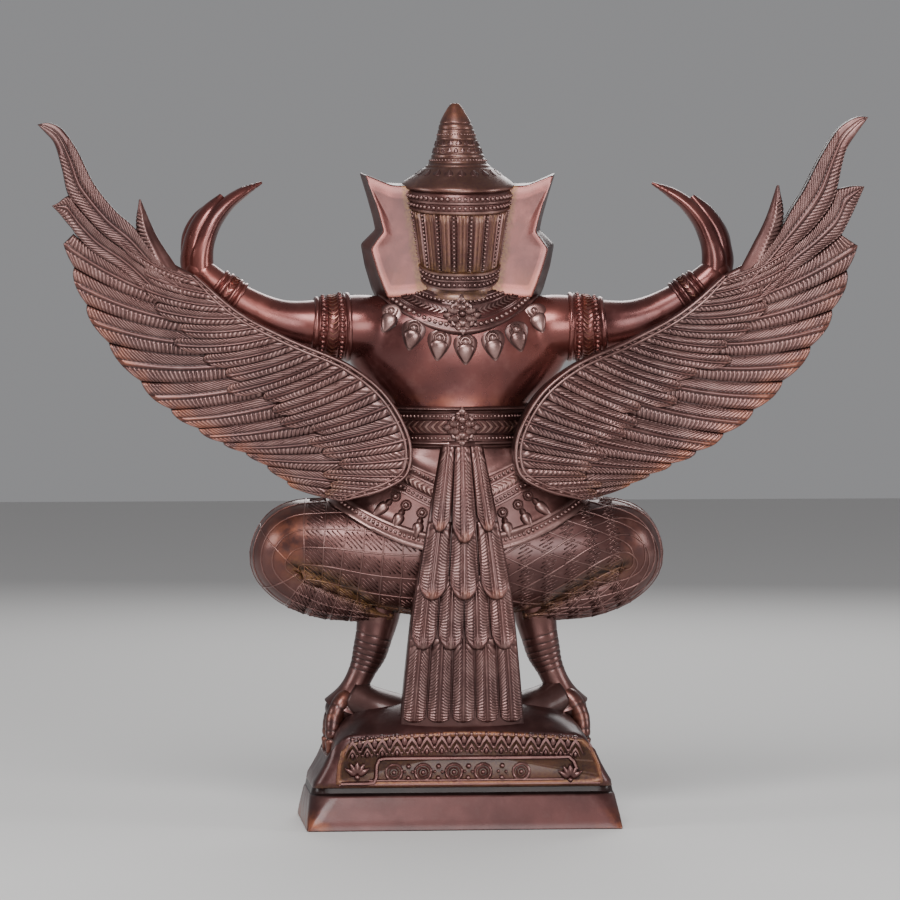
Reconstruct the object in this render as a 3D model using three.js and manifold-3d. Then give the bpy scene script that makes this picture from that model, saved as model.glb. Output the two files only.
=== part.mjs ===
// A cast brass garuda on its plinth, in millimetres: +Z up, the figure's front towards -Y and its left side at +X.
// The origin is the centre of the plinth's underside.
import * as THREE from "three";
import { mergeVertices } from "three/addons/utils/BufferGeometryUtils.js";
import Module from "manifold-3d";

const wasm = await Module();
wasm.setup();

// Driving sizes
const figureHeight = 379; // from the plinth's upper edge to the tip of the spire
const plinthWidth = 190;
const plinthDepth = 104;
const plinthHeight = 56; // to the upper edge of the carved block
const footHeight = 20; // the sloping foot of the plinth
const footSlope = 9; // how far the foot's front and back lean in
const sideSlope = 17; // how far each side leans in, up to the block's edge
const footLedge = 3; // the step between the foot and the carved block
const moundRise = 19; // how far the top swells above the block's edge
const cornerRadius = 12; // the carved block's upper corners
const seatGap = 0.3; // between the figure and the plinth

// The figure is drawn 379 tall above an edge at 56, and everything in it is a share of its height.
const drawnHeight = 379;
const drawnEdge = 56;
const unit = figureHeight / drawnHeight;
const asIs = (point) => point;
const placed = ([x, y, z]) => [x * unit, y * unit, plinthHeight + (z - drawnEdge) * unit];

const mix = THREE.MathUtils.lerp;
const smooth = (x, from, to) => THREE.MathUtils.smoothstep(x, from, to);
const steps = (count) => Array.from({ length: count + 1 }, (_, i) => i / count);

// A closed solid from points and triangles, turned to face outwards.
function solid(points, faces) {
  const geometry = new THREE.BufferGeometry();
  geometry.setAttribute("position", new THREE.Float32BufferAttribute(points.flat(), 3));
  geometry.setIndex(faces);
  return solidOf(geometry);
}

function solidOf(geometry) {
  const bare = geometry.clone();
  bare.deleteAttribute("normal");
  bare.deleteAttribute("uv");
  const merged = mergeVertices(bare, 1e-4);
  const index = Array.from(merged.index.array);
  const position = merged.attributes.position;
  const corner = [0, 1, 2].map(() => new THREE.Vector3());
  let volume = 0;
  for (let i = 0; i < index.length; i += 3) {
    corner.forEach((c, k) => c.fromBufferAttribute(position, index[i + k]));
    volume += corner[0].dot(corner[1].clone().cross(corner[2]));
  }
  if (volume < 0) index.reverse();
  return new wasm.Manifold(
    new wasm.Mesh({
      numProp: 3,
      vertProperties: new Float32Array(position.array),
      triVerts: new Uint32Array(index),
    }),
  );
}

const joined = (solids) => solids.reduce((whole, next) => whole.add(next));

function meshOf(name, whole, material) {
  const { numProp, numVert, vertProperties, triVerts } = whole.getMesh();
  const points = new Float32Array(numVert * 3);
  for (let i = 0; i < numVert; i++) points.set(vertProperties.subarray(i * numProp, i * numProp + 3), i * 3);
  const geometry = new THREE.BufferGeometry();
  geometry.setAttribute("position", new THREE.BufferAttribute(points, 3));
  geometry.setIndex(new THREE.BufferAttribute(new Uint32Array(triVerts), 1));
  geometry.computeVertexNormals();
  const mesh = new THREE.Mesh(geometry, material);
  mesh.name = name;
  return mesh;
}

// A skin over a stack of rings of as many points each, closed by one point at each end.
function skin(rings, start, end, place = placed) {
  const around = rings[0].length;
  const points = [...rings.flat(), start, end];
  const [first, last] = [points.length - 2, points.length - 1];
  const top = (rings.length - 1) * around;
  const faces = [];
  for (let i = 0; i < around; i++) {
    const next = (i + 1) % around;
    for (let row = 0; row < top; row += around) {
      faces.push(row + i, row + next, row + next + around, row + i, row + next + around, row + i + around);
    }
    faces.push(first, next, i, last, top + i, top + next);
  }
  return solid(points.map(place), faces);
}

// A slab between two grids of points, back[column][row] and front[column][row], with walls all round.
function slab(back, front, place = placed) {
  const [columns, rows] = [back.length, back[0].length];
  const points = [...back.flat(), ...front.flat()];
  const at = (c, r, side) => side * columns * rows + c * rows + r;
  const faces = [];
  const quad = (a, b, c, d) => faces.push(a, b, c, a, c, d);
  for (let c = 0; c < columns - 1; c++) {
    for (let r = 0; r < rows - 1; r++) {
      quad(at(c, r, 0), at(c + 1, r, 0), at(c + 1, r + 1, 0), at(c, r + 1, 0));
      quad(at(c, r, 1), at(c, r + 1, 1), at(c + 1, r + 1, 1), at(c + 1, r, 1));
    }
    quad(at(c, 0, 0), at(c, 0, 1), at(c + 1, 0, 1), at(c + 1, 0, 0));
    quad(at(c, rows - 1, 0), at(c + 1, rows - 1, 0), at(c + 1, rows - 1, 1), at(c, rows - 1, 1));
  }
  for (let r = 0; r < rows - 1; r++) {
    quad(at(0, r, 0), at(0, r + 1, 0), at(0, r + 1, 1), at(0, r, 1));
    quad(at(columns - 1, r, 0), at(columns - 1, r, 1), at(columns - 1, r + 1, 1), at(columns - 1, r + 1, 0));
  }
  return solid(points.map(place), faces);
}

const vector = ([x, y, z]) => new THREE.Vector3(x, y, z);
const spline = (points) => new THREE.CatmullRomCurve3(points.map(vector), false, "centripetal");
const flatSpline = (points) => spline(points.map(([x, z]) => [x, 0, z]));

// A number read off a list of evenly spaced values.
function along(values, t) {
  const place = t * (values.length - 1);
  const low = Math.min(Math.floor(place), values.length - 2);
  return mix(values[low], values[low + 1], place - low);
}

// A raised band's outline: shares of its length, and of how far it stands proud.
const bandProfile = [[0, 0], [0.03, 1], [0.26, 0.4], [0.74, 0.4], [0.97, 1], [1, 0]];

// Where the rings of a limb or trunk lie, as [place, extra radius]: evenly spaced, and closer at each band.
function stationsOf(places, bands) {
  const clear = (t) => !bands.some(({ from, to, margin }) => t > from - margin && t < to + margin);
  const plain = places.filter(clear).map((t) => [t, 0]);
  const raised = bands.flatMap(({ from, to, proud }) =>
    bandProfile.map(([share, height]) => [mix(from, to, share), height * proud]),
  );
  return [...plain, ...raised].sort((a, b) => a[0] - b[0]);
}

// A limb: rings along a path that lies nearly in the plane of the wings. inPlane and deep are its half widths
// there and front to back, evenly spaced along it, and swell(t) widens both. A limb that runs forwards is level,
// with its inPlane width along X.
function limb({ path, inPlane, deep, sides = 8, rows = 6, side = 1, swell = () => 1, bands = [], level = false }) {
  const curve = spline(path);
  const acrossOf = (tangent) => (level ? vector([1, 0, 0]) : vector([-tangent.z, 0, tangent.x]).normalize());
  const ring = ([t, extra]) => {
    const centre = curve.getPointAt(t);
    const tangent = curve.getTangentAt(t);
    const across = acrossOf(tangent);
    const depth = new THREE.Vector3().crossVectors(tangent, across);
    const wide = along(inPlane, t) * swell(t) + extra;
    const thick = along(deep, t) * swell(t) + extra;
    return steps(sides).slice(1).map((share) => {
      const angle = (share + 0.5 / sides) * 2 * Math.PI;
      const p = centre.clone().addScaledVector(across, Math.cos(angle) * wide);
      p.addScaledVector(depth, Math.sin(angle) * thick);
      return [p.x * side, p.y, p.z];
    });
  };
  const ends = [path[0], path[path.length - 1]].map(([x, y, z]) => [x * side, y, z]);
  return skin(stationsOf(steps(rows), bands).map(ring), ends[0], ends[1]);
}

// A flat jewel, leaf or petal: an outline closed by a crest in front of it and a root behind it.
const jewel = (outline, crest, root, place = placed) => skin([outline], root, crest, place);

// An egg shape with half widths a, b and c.
function egg([x, y, z], [a, b, c], around = 8, rows = 4) {
  const ball = new THREE.SphereGeometry(1, around, rows).toNonIndexed();
  ball.rotateX(Math.PI / 2).scale(a, b, c).translate(x, y, z);
  const position = ball.attributes.position;
  for (let i = 0; i < position.count; i++) {
    position.setXYZ(i, ...placed([position.getX(i), position.getY(i), position.getZ(i)]));
  }
  return solidOf(ball);
}

// Torso: level, half width, depth to the front and depth to the back
const torsoRings = [
  [152, 32, 25, 27],
  [188, 48, 33, 32],
  [224, 40, 29, 27],
  [242, 37, 27, 25],
  [257, 46, 30, 25],
  [266, 56, 33, 26],
  [278, 64, 37, 28],
  [292, 67, 38, 29],
  [306, 62, 33, 28],
  [313, 54, 25, 23],
  [317, 34, 17, 17],
];

const torsoEnds = { below: 6, above: 2 }; // how far its lowest and highest points lie beyond the rings

// The torso's half width and depths at a level.
function torsoAt(z) {
  const above = Math.max(1, torsoRings.findIndex((ring) => ring[0] >= z));
  const [low, high] = [torsoRings[above - 1], torsoRings[above]];
  const t = (z - low[0]) / (high[0] - low[0]);
  return [1, 2, 3].map((k) => mix(low[k], high[k], t));
}

const waistBelt = { from: 228, to: 252, proud: 3.6, margin: 3 };

// A level ring round the body: half width times the cosine, front or back depth times the sine.
function bodyRing([z, grow], sides = 14) {
  const [wide, front, back] = torsoAt(z).map((size) => size + grow);
  return steps(sides).slice(1).map((share) => {
    const angle = share * 2 * Math.PI;
    const deep = Math.sin(angle) > 0 ? back : front;
    return [Math.cos(angle) * wide, Math.sin(angle) * deep, z];
  });
}

function torso() {
  const levels = torsoRings.map(([z]) => z);
  const rings = stationsOf(levels, [waistBelt]).map((station) => bodyRing(station));
  return skin(rings, [0, 0, levels[0] - torsoEnds.below], [0, 0, levels[levels.length - 1] + torsoEnds.above]);
}

const jewelRoot = 8; // how deep the jewels are set into the body
const rosetteShape = { notch: 0.62, crest: 3 };

// A rosette of four pointed petals that lies on the body at front or back.
function rosette([x, y, z], wide, tall, facing) {
  const outline = steps(8).slice(1).map((share, i) => {
    const [angle, reach] = [share * 2 * Math.PI, i % 2 ? 1 : rosetteShape.notch];
    return [x + Math.cos(angle) * wide * reach, y, z + Math.sin(angle) * tall * reach];
  });
  return jewel(outline, [x, y + facing * rosetteShape.crest, z], [x, y - facing * jewelRoot, z]);
}

const collarShape = { inner: [21, 19, 324], outer: [48, 31], sideLevel: 319, backDrop: 17, frontDrop: 23 };

// The collar: a sloping ring round the neck that hangs lower at the back and lowest at the front.
function collarEdge(angle, share, lift) {
  const { inner, outer, sideLevel, backDrop, frontDrop } = collarShape;
  const [c, s] = [Math.cos(angle), Math.sin(angle)];
  const front = s < 0 ? 1.1 : 1;
  const low = sideLevel - (s > 0 ? backDrop : frontDrop) * s * s;
  const out = [mix(inner[0], outer[0], share) * c, mix(inner[1], outer[1] * front, share) * s];
  return [out[0], out[1] + lift * s, mix(inner[2], low, share) + lift * 0.6];
}

function collar(sides = 16) {
  const angles = steps(sides).slice(1).map((share) => share * 2 * Math.PI);
  const ring = (share, lift) => angles.map((a) => collarEdge(a, share, lift));
  const rings = [ring(0, 1), ring(0.4, 2.6), ring(0.5, 1.2), ring(0.85, 2.4), ring(1, 1.6), ring(1, -8)];
  return skin(rings, [0, 0, 324], [0, 0, 302]);
}

const pendants = { atBack: 7, atFront: 5, spread: 45, tall: 17, wide: 5.2, shoulder: 4, crest: 4 };

function collarPendants() {
  const { atBack, atFront, spread, tall, wide, shoulder, crest } = pendants;
  return [1, -1].flatMap((facing) =>
    steps(facing > 0 ? atBack - 1 : atFront - 1).map((share) => {
      const x = mix(-spread, spread, share);
      const angle = Math.acos(x / collarShape.outer[0]) * facing;
      const [, y, z] = collarEdge(angle, 1, 0.5);
      const fall = tall * Math.abs(Math.sin(angle));
      const outline = [
        [x + wide, y, z],
        [x + wide * 0.6, y, z + shoulder],
        [x - wide * 0.6, y, z + shoulder],
        [x - wide, y, z],
        [x * 1.04, y, z - fall],
      ];
      return jewel(outline, [x, y + facing * crest, z - 1], [x * 0.9, y - facing * jewelRoot, z]);
    }),
  );
}

// Head, beak and crown
const crown = {
  centre: 2,
  low: { back: 327, front: 364, radius: 25 },
  high: { back: 384, front: 389, radius: 33.5 },
  ribs: 12,
  spire: [
    [386, 30.5],
    [389.5, 26],
    [392, 22.5],
    [395.5, 19],
    [399, 17.3],
    [403, 15.9],
    [408, 14.2],
    [413, 12.4],
    [418, 10.8],
    [422.5, 9.4],
    [427, 7.9],
    [431, 6.2],
    [434, 4.2],
  ],
  tip: 435,
  lean: 2,
};

function crownRing(share, grow, ribs = 0) {
  const { low, high, centre, ribs: count } = crown;
  const radius = mix(low.radius, high.radius, share) + grow;
  return steps(count * 2).slice(1).map((turn, i) => {
    const angle = turn * 2 * Math.PI;
    const r = radius + (i % 2 ? ribs : 0);
    const y = centre + Math.sin(angle) * r;
    const back = (Math.sin(angle) + 1) / 2;
    const level = mix(mix(low.front, low.back, back), mix(high.front, high.back, back), share);
    return [Math.cos(angle) * r, y, level];
  });
}

function crownBody() {
  const rows = [
    [0, 1.4], [0.1, 1.4], [0.12, -1, 2], [0.78, -1, 2], [0.8, 1], [0.9, 0.2], [1, 1.2],
  ];
  const rings = rows.map(([share, grow, ribs]) => crownRing(share, grow, ribs));
  return skin(rings, [0, crown.centre, 345], [0, crown.centre, 388]);
}

function spire(sides = 10) {
  const { spire: levels, centre, lean, tip } = crown;
  const base = levels[0][0] - 6;
  const ring = ([z, r]) => {
    const shift = (lean * (z - base)) / (tip - base);
    return steps(sides).slice(1).map((share) => {
      const angle = share * 2 * Math.PI;
      return [shift + Math.cos(angle) * r, centre + Math.sin(angle) * r, z];
    });
  };
  const rings = [[base, levels[0][1]], ...levels].map(ring);
  return skin(rings, [0, centre, base], [lean, centre, tip]);
}

// The winged ear ornament beside the crown: its outline across X and Z, wider in front than behind.
const earOutline = [
  [18, 318], [49, 316], [55, 333], [59, 344], [59, 351], [51, 359.5], [52, 366], [60, 393.5], [46, 387], [18, 385],
];
const earPlate = { back: 12, front: -4, bevel: 2.5 };

function earOrnament(side) {
  const shape = new THREE.Shape(earOutline.map(([x, z]) => new THREE.Vector2(x, z)));
  const { back, front, bevel } = earPlate;
  const plate = new THREE.ExtrudeGeometry(shape, {
    depth: back - front - bevel,
    bevelEnabled: true,
    bevelThickness: bevel,
    bevelSize: bevel,
    bevelOffset: -bevel / 2,
    bevelSegments: 1,
  });
  const position = plate.attributes.position;
  for (let i = 0; i < position.count; i++) {
    const [x, z, y] = [position.getX(i), position.getY(i), front + position.getZ(i)];
    position.setXYZ(i, ...placed([x * side, y, z]));
  }
  return solidOf(plate);
}

function head() {
  const neck = limb({
    path: [[0, 0, 308], [0, -1, 322], [0, -3, 336]],
    inPlane: [22, 18, 19],
    deep: [20, 17, 18],
    rows: 2,
  });
  const skull = egg([0, -8, 347], [25, 27, 25], 12, 6);
  const jaw = egg([0, -28, 336], [10, 9, 6], 6, 4);
  const beak = limb({
    path: [[0, -26, 348], [0, -41, 350], [0, -51, 344], [0, -53, 334]],
    inPlane: [11, 9, 5, 1.2],
    deep: [8, 8, 5, 1.2],
    rows: 4,
    sides: 8,
    level: true,
  });
  const eyes = [1, -1].flatMap((side) => [
    egg([side * 12, -29, 352], [6, 5, 4.5], 6, 4),
    limb({
      path: [[4, -33, 354], [11, -34, 360], [20, -26, 361], [26, -15, 356]],
      inPlane: [2, 2.8, 2.6, 1],
      deep: [2, 3, 3, 1],
      side,
      rows: 3,
      sides: 5,
    }),
  ]);
  const leaf = egg([0, -27, 374], [9, 5, 13], 6, 4);
  return joined([neck, skull, jaw, beak, leaf, ...eyes]);
}

// Arms and hands
const armPath = [[50, 2, 300], [88, 4, 300.5], [108, 5, 304], [130, 6, 314], [149, 6, 328], [160, 6, 338]];
const armband = { from: 0.17, to: 0.33, proud: 2.4, margin: 0.03 };
const bracelet = { from: 0.74, to: 0.87, proud: 2.2, margin: 0.03 };

function arm(side) {
  return limb({
    path: armPath,
    inPlane: [19, 19, 15, 12, 10.5, 9, 7.5],
    deep: [20, 19, 14, 12, 10, 9, 8],
    sides: 8,
    rows: 7,
    bands: [armband, bracelet],
    side,
  });
}

function hand(side) {
  const fingers = limb({
    path: [[158, 6, 333], [162, 5, 345], [158, 4, 358], [149, 2, 370], [137, 0, 379], [116, -3, 386]],
    inPlane: [8, 8, 7.5, 6.5, 5, 3, 1],
    deep: [8, 9, 9, 8, 6, 4, 1.4],
    sides: 7,
    rows: 6,
    side,
  });
  const thumb = limb({
    path: [[165, 2, 346], [165, -2, 360], [158, -5, 372], [146, -8, 381]],
    inPlane: [3, 4, 4, 3.4, 1.4],
    deep: [3, 4.5, 4.5, 3.6, 1.4],
    sides: 5,
    rows: 4,
    side,
  });
  return fingers.add(thumb);
}

// Wings: three guide curves across X and Z carry the feathers from the rim, by way of their bend, to their tips.
// The curves for bends and tips have a point for every second feather, from the first to the thirteenth.
const wing = {
  feathers: 13,
  rim: flatSpline([
    [160, 332], [132, 309], [104, 294], [66, 277], [44, 258], [31, 231], [33, 212], [48, 202], [72, 196],
  ]),
  bends: flatSpline([[210, 342], [184, 311], [160, 281], [128, 257], [94, 236], [74, 216], [86, 198]]),
  tips: flatSpline([[250, 425], [240, 350], [223, 303], [188, 260], [155, 233], [127, 217], [103, 203]]),
  valleys: [[200, 369], [232, 381], [231, 356]], // beside the first plumes
  notch: 3.5, // how deep the outline is cut between the other tips
  crowding: 1.35, // the feathers' roots stand closer at the wrist
  coverts: 0.54, // how far down the feathers the shorter ones reach
  scallop: 0.06, // how far their ends are drawn back between them
  rootDepth: 34.5, // the back face, beside the spine
  outerDepth: 20.5,
  thickness: 9,
  tipThickness: 5,
  rootThickness: 13, // more where the wing grows out of the back
  ridge: 1.7,
  groove: 1.2,
  layer: 2.2, // how far the shorter feathers stand proud
  plainer: 0.7, // the front's relief, as a share of the back's
  rimWidth: 5,
  rimHeight: 4.4,
};

const flat = (point) => [point.x, point.z];

// Where a feather numbered s lies, a share r of the way from the rim to its end, across X and Z.
function featherPoint(s, r) {
  const place = THREE.MathUtils.clamp((s - 1) / (wing.feathers - 1), 0, 1);
  const start = THREE.MathUtils.clamp(s / (wing.feathers + 0.5), 0, 1);
  const root = flat(wing.rim.getPointAt(Math.pow(start, wing.crowding)));
  const bend = flat(wing.bends.getPoint(place));
  const tip = flat(wing.tips.getPoint(place));
  const between = Math.abs((s % 1) - 0.5) < 0.01;
  const valley = between && wing.valleys[Math.round(s - 0.5)];
  const cut = between ? wing.notch / Math.hypot(tip[0] - bend[0], tip[1] - bend[1]) : 0;
  const end = valley || [mix(tip[0], bend[0], cut), mix(tip[1], bend[1], cut)];
  const [u, w] = [1 - r, r];
  return [0, 1].map((k) => u * u * root[k] + 2 * u * w * bend[k] + w * w * end[k]);
}

const wingBack = (x) => mix(wing.rootDepth, wing.outerDepth, smooth(x, 30, 140));
const wingThickness = (x, r) =>
  mix(wing.thickness, wing.tipThickness, smooth(r, 0.6, 1)) + wing.rootThickness * (1 - smooth(x, 30, 85));

// How high the feathers stand at a place on the wing: ridges along their shafts and grooves between them, and
// the shorter feathers, whose shafts lie between the long ones' shafts, on top of those.
function featherRelief(s, row, onCoverts) {
  const onShaft = Math.abs((s % 1) - 0.5) > 0.25;
  const up = onShaft !== onCoverts;
  return (up ? wing.ridge : -wing.groove) * row + (onCoverts ? wing.layer : 0);
}

// The share of a feather's run that the rim's width takes up.
function rimShare(s) {
  const [near, far] = [0, 0.2].map((r) => featherPoint(s, r));
  return Math.min(0.25, (0.2 * wing.rimWidth) / Math.hypot(far[0] - near[0], far[1] - near[1]));
}

function wingOf(side) {
  const { feathers, coverts, scallop, rimHeight } = wing;
  const columns = steps(feathers * 2).map((share) => mix(0.5, feathers + 0.5, share));
  const grid = (face) =>
    columns.map((s) => {
      const step = coverts - (Math.abs((s % 1) - 0.5) > 0.25 ? scallop : 0);
      const rim = rimShare(s);
      const low = featherRelief(s, 0.3, true);
      const full = [featherRelief(s, 1, true), featherRelief(s, 1, false)];
      const rows = [
        [0, rimHeight],
        [rim, rimHeight],
        [rim * 1.3, low],
        [step, full[0]],
        [step + 0.02, full[1]],
        [1, full[1] / 2],
      ];
      return rows.map(([r, relief]) => {
        const [x, z] = featherPoint(s, r);
        const back = wingBack(x);
        return [x * side, face ? back - wingThickness(x, r) - relief * wing.plainer : back + relief, z];
      });
    });
  const plume = limb({
    path: [[166, 17, 332], [178, 17, 346], [187, 17, 362], [193, 17, 380]],
    inPlane: [10, 10, 8, 5, 1],
    deep: [4, 4.5, 4, 3.5, 1.5],
    sides: 6,
    rows: 4,
    side,
  });
  return slab(grid(0), grid(1)).add(plume);
}

const shankRings = 10;

// Legs: thigh, calf, scaled shank and toes
function leg(side) {
  const thigh = limb({
    path: [[16, 2, 174], [50, 0, 168], [82, -3, 168], [104, -6, 165], [118, -7, 160]],
    inPlane: [24, 29, 29, 27, 24, 14],
    deep: [26, 30, 31, 29, 24, 14],
    sides: 10,
    rows: 5,
    side,
  });
  const calf = limb({
    path: [[115, -8, 158], [98, -9, 149], [80, -9, 141], [60, -8, 134], [38, -7, 129]],
    inPlane: [14, 19, 18.5, 15, 12, 8],
    deep: [14, 22, 22, 18, 14, 9],
    sides: 10,
    rows: 5,
    side,
  });
  const shank = limb({
    path: [[46, -7, 132], [49, -8, 118], [54, -9, 100], [60, -10, 84], [64, -10, 68]],
    inPlane: [13, 12.5, 10.5, 8.5, 10],
    deep: [12, 11, 10, 9, 10],
    sides: 7,
    rows: shankRings,
    swell: (t) => (Math.round(t * shankRings) % 2 ? 1 : 0.93),
    side,
  });
  return joined([thigh, calf, shank, ...toes(side)]);
}

// Toes grip the plinth: two run outwards over its side edge and one forwards over the front.
const blockHalfWidth = plinthWidth / 2 - sideSlope;
const blockHalfDepth = plinthDepth / 2 - footSlope - footLedge;

function toes(side) {
  const ankle = [63, -10, 76];
  const edge = blockHalfWidth / unit;
  const brink = blockHalfDepth / unit;
  const [over, down, end] = [5, -6, -16].map((rise) => drawnEdge + rise);
  const paths = [
    [ankle, [71, -5, over + 8], [edge, -2, over], [edge + 2, -1, down], [edge + 5, -1, end]],
    [ankle, [70, -16, over + 8], [edge - 2, -21, over], [edge + 2, -24, down], [edge + 5, -25, end]],
    [ankle, [64, -24, over + 10], [65, 3 - brink, over + 2], [65, -brink - 2, down], [65, -brink - 3, end]],
  ];
  const thick = [6, 7.5, 6.5, 5.5, 1.6];
  return paths.map((path) => limb({ path, inPlane: thick, deep: thick, sides: 5, rows: 4, side }));
}

// Tail: a broad train of feathers from the belt down to the plinth, in rows that overlap like tiles.
const tail = {
  levels: [232, 190, 140, 96, 50],
  halfWidths: [12, 20, 29, 34, 38],
  backs: [30, 39, 41.5, 39, 34.5],
  thickness: 15,
  rows: [
    { tip: 64, root: 112, count: 5, rise: 1 },
    { tip: 109, root: 150, count: 4, rise: 1.8 },
    { tip: 139, root: 182, count: 3, rise: 2.6 },
    { tip: 176, root: 226, count: 3, rise: 3.4 },
  ],
  ridge: 1.6,
  sunk: 5,
};

function tailAt(z) {
  const { levels, halfWidths, backs } = tail;
  const below = Math.max(1, levels.findIndex((level) => level <= z));
  const t = (levels[below - 1] - z) / (levels[below - 1] - levels[below]);
  return [mix(halfWidths[below - 1], halfWidths[below], t), mix(backs[below - 1], backs[below], t)];
}

const tailSurface = (share, z) => {
  const [wide, back] = tailAt(z);
  return [share * wide, back - 3 * share * share, z];
};

// One tail feather: a long blunt leaf with a ridge down its middle, sunk into the train.
function tailFeather(row, i) {
  const centre = -1 + (2 * i + 1) / row.count;
  const half = 0.97 / row.count;
  const place = (edge, t, lift) => {
    const [x, y, z] = tailSurface(centre + edge * half, mix(row.root, row.tip, t));
    return [x, y + lift, z];
  };
  const ring = (t, narrow) => [
    place(-narrow, t, row.rise * t),
    place(0, t, (row.rise + tail.ridge) * t),
    place(narrow, t, row.rise * t),
    place(0, t, -tail.sunk),
  ];
  return skin([ring(0.1, 1), ring(0.86, 0.96)], place(0, 0, -tail.sunk), place(0, 1, 0));
}

function tailTrain() {
  const columns = steps(2).map((share) => mix(-1, 1, share));
  const grid = (face) =>
    columns.map((share) =>
      tail.levels.map((z) => {
        const [x, y] = tailSurface(share, Math.max(z, 50.01));
        return [x, y - (face ? tail.thickness : 0), z];
      }),
    );
  const feathers = tail.rows.flatMap((row) => Array.from({ length: row.count }, (_, i) => tailFeather(row, i)));
  return joined([slab(grid(0), grid(1)), ...feathers]);
}

// Skirt: a short cloth all round the hips, lowest at the middle of front and back, with a raised hem.
const skirt = {
  top: 234,
  sideEdge: 195,
  drop: 31,
  waist: [38, 26],
  spread: [78, 35],
  hem: 2.2,
  hemShare: 0.14,
  sides: 16,
};

const hemLevel = (x) => skirt.sideEdge - skirt.drop * (1 - (x / skirt.spread[0]) ** 2);

// A point of the skirt at an angle round the hips and a share of the way down it.
function skirtPoint(angle, share, proud) {
  const [wide, deep] = [0, 1].map((k) => mix(skirt.waist[k], skirt.spread[k], Math.sqrt(share)) + proud);
  const x = Math.cos(angle) * wide;
  const y = Math.sign(Math.sin(angle)) * Math.sqrt(Math.abs(Math.sin(angle))) * deep;
  return [x, y, mix(skirt.top, hemLevel(Math.cos(angle) * skirt.spread[0]), share)];
}

function skirtCloth() {
  const ring = ([share, proud]) =>
    steps(skirt.sides).slice(1).map((turn) => skirtPoint(turn * 2 * Math.PI, share, proud));
  const hemTop = 1 - skirt.hemShare;
  const rings = [[0, 0], [hemTop - 0.03, 0], [hemTop, skirt.hem], [1, skirt.hem], [1, -4]].map(ring);
  return joined([skin(rings, [0, 0, skirt.top], [0, 0, 176]), ...skirtDrops(1), ...skirtDrops(-1)]);
}

const drops = { angles: [66, 52, 38], level: 0.56, wide: 4, tall: 20, swing: 2, crest: 5 };

// Drop jewels that hang on the skirt on either side, the outer ones swinging outwards.
function skirtDrops(facing) {
  return [1, -1].flatMap((side) =>
    drops.angles.map((degrees, i) => {
      const angle = THREE.MathUtils.degToRad(degrees);
      const [reach, deep, z] = skirtPoint(angle, drops.level - i * 0.02, 0);
      const [x, y] = [reach * side, deep * facing];
      const swing = drops.swing * (1 + i) * side;
      const widest = z - drops.wide * 0.75;
      const tip = [x + swing, y, z - drops.tall];
      const outline = [[x + drops.wide, y, widest], [x, y, z + 2], [x - drops.wide, y, widest], tip];
      return jewel(outline, [x + swing * 0.3, y + facing * drops.crest, z - 6], [x, y - facing * jewelRoot, z - 6]);
    }),
  );
}

// Front cloth between the knees
function frontCloth() {
  return limb({
    path: [[0, -26, 226], [0, -34, 196], [0, -37, 165], [0, -34, 132], [0, -31, 112]],
    inPlane: [12, 14, 15, 16, 9, 1],
    deep: [4, 4, 4, 3.6, 3, 1],
    sides: 6,
    rows: 6,
  });
}

// Plinth: grow widens and raises it all round, to cut the figure clear of it.
function plinthBlock(grow) {
  const halfWidth = (z) => plinthWidth / 2 - (sideSlope * z) / plinthHeight + grow;
  const topLevel = (x, y) => {
    const [u, v] = [x / blockHalfWidth, y / blockHalfDepth];
    return plinthHeight + grow + moundRise * Math.max(0, 1 - u * u * u * u) * Math.max(0, 1 - v * v);
  };
  const footDepth = (z) => plinthDepth / 2 - (footSlope * z) / footHeight + grow;
  const box = (z, wide, deep) => [[wide, deep, z], [-wide, deep, z], [-wide, -deep, z], [wide, -deep, z]];
  const footTop = footHeight + grow;
  const footRings = [box(0, halfWidth(0), footDepth(0)), box(footTop, halfWidth(footHeight), footDepth(footHeight))];
  const foot = skin(footRings, [0, 0, 0], [0, 0, footTop], asIs);
  const [nx, ny] = [8, 4];
  const corner = (x) => {
    const over = Math.max(0, Math.abs(x) - (blockHalfWidth - cornerRadius));
    return cornerRadius - Math.sqrt(Math.max(0, cornerRadius ** 2 - over ** 2));
  };
  const grid = (top) =>
    steps(nx).map((u) =>
      steps(ny).map((v) => {
        const [a, b] = [mix(-1, 1, u), mix(-1, 1, v)];
        const y = b * (blockHalfDepth + grow);
        if (!top) return [a * halfWidth(footHeight - 2), y, footHeight - 2];
        const x = a * (blockHalfWidth + grow);
        return [x, y, topLevel(x, y) - corner(a * blockHalfWidth)];
      }),
    );
  return foot.add(slab(grid(1), grid(0), asIs));
}

// The carved border on the front and back of the block: a row of leaves, a moulding and a row of roundels.
const frieze = { leaves: 11, leafTall: 14, relief: 3, roundels: 5, roundelRadius: 5, roundelLevel: 31 };

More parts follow.
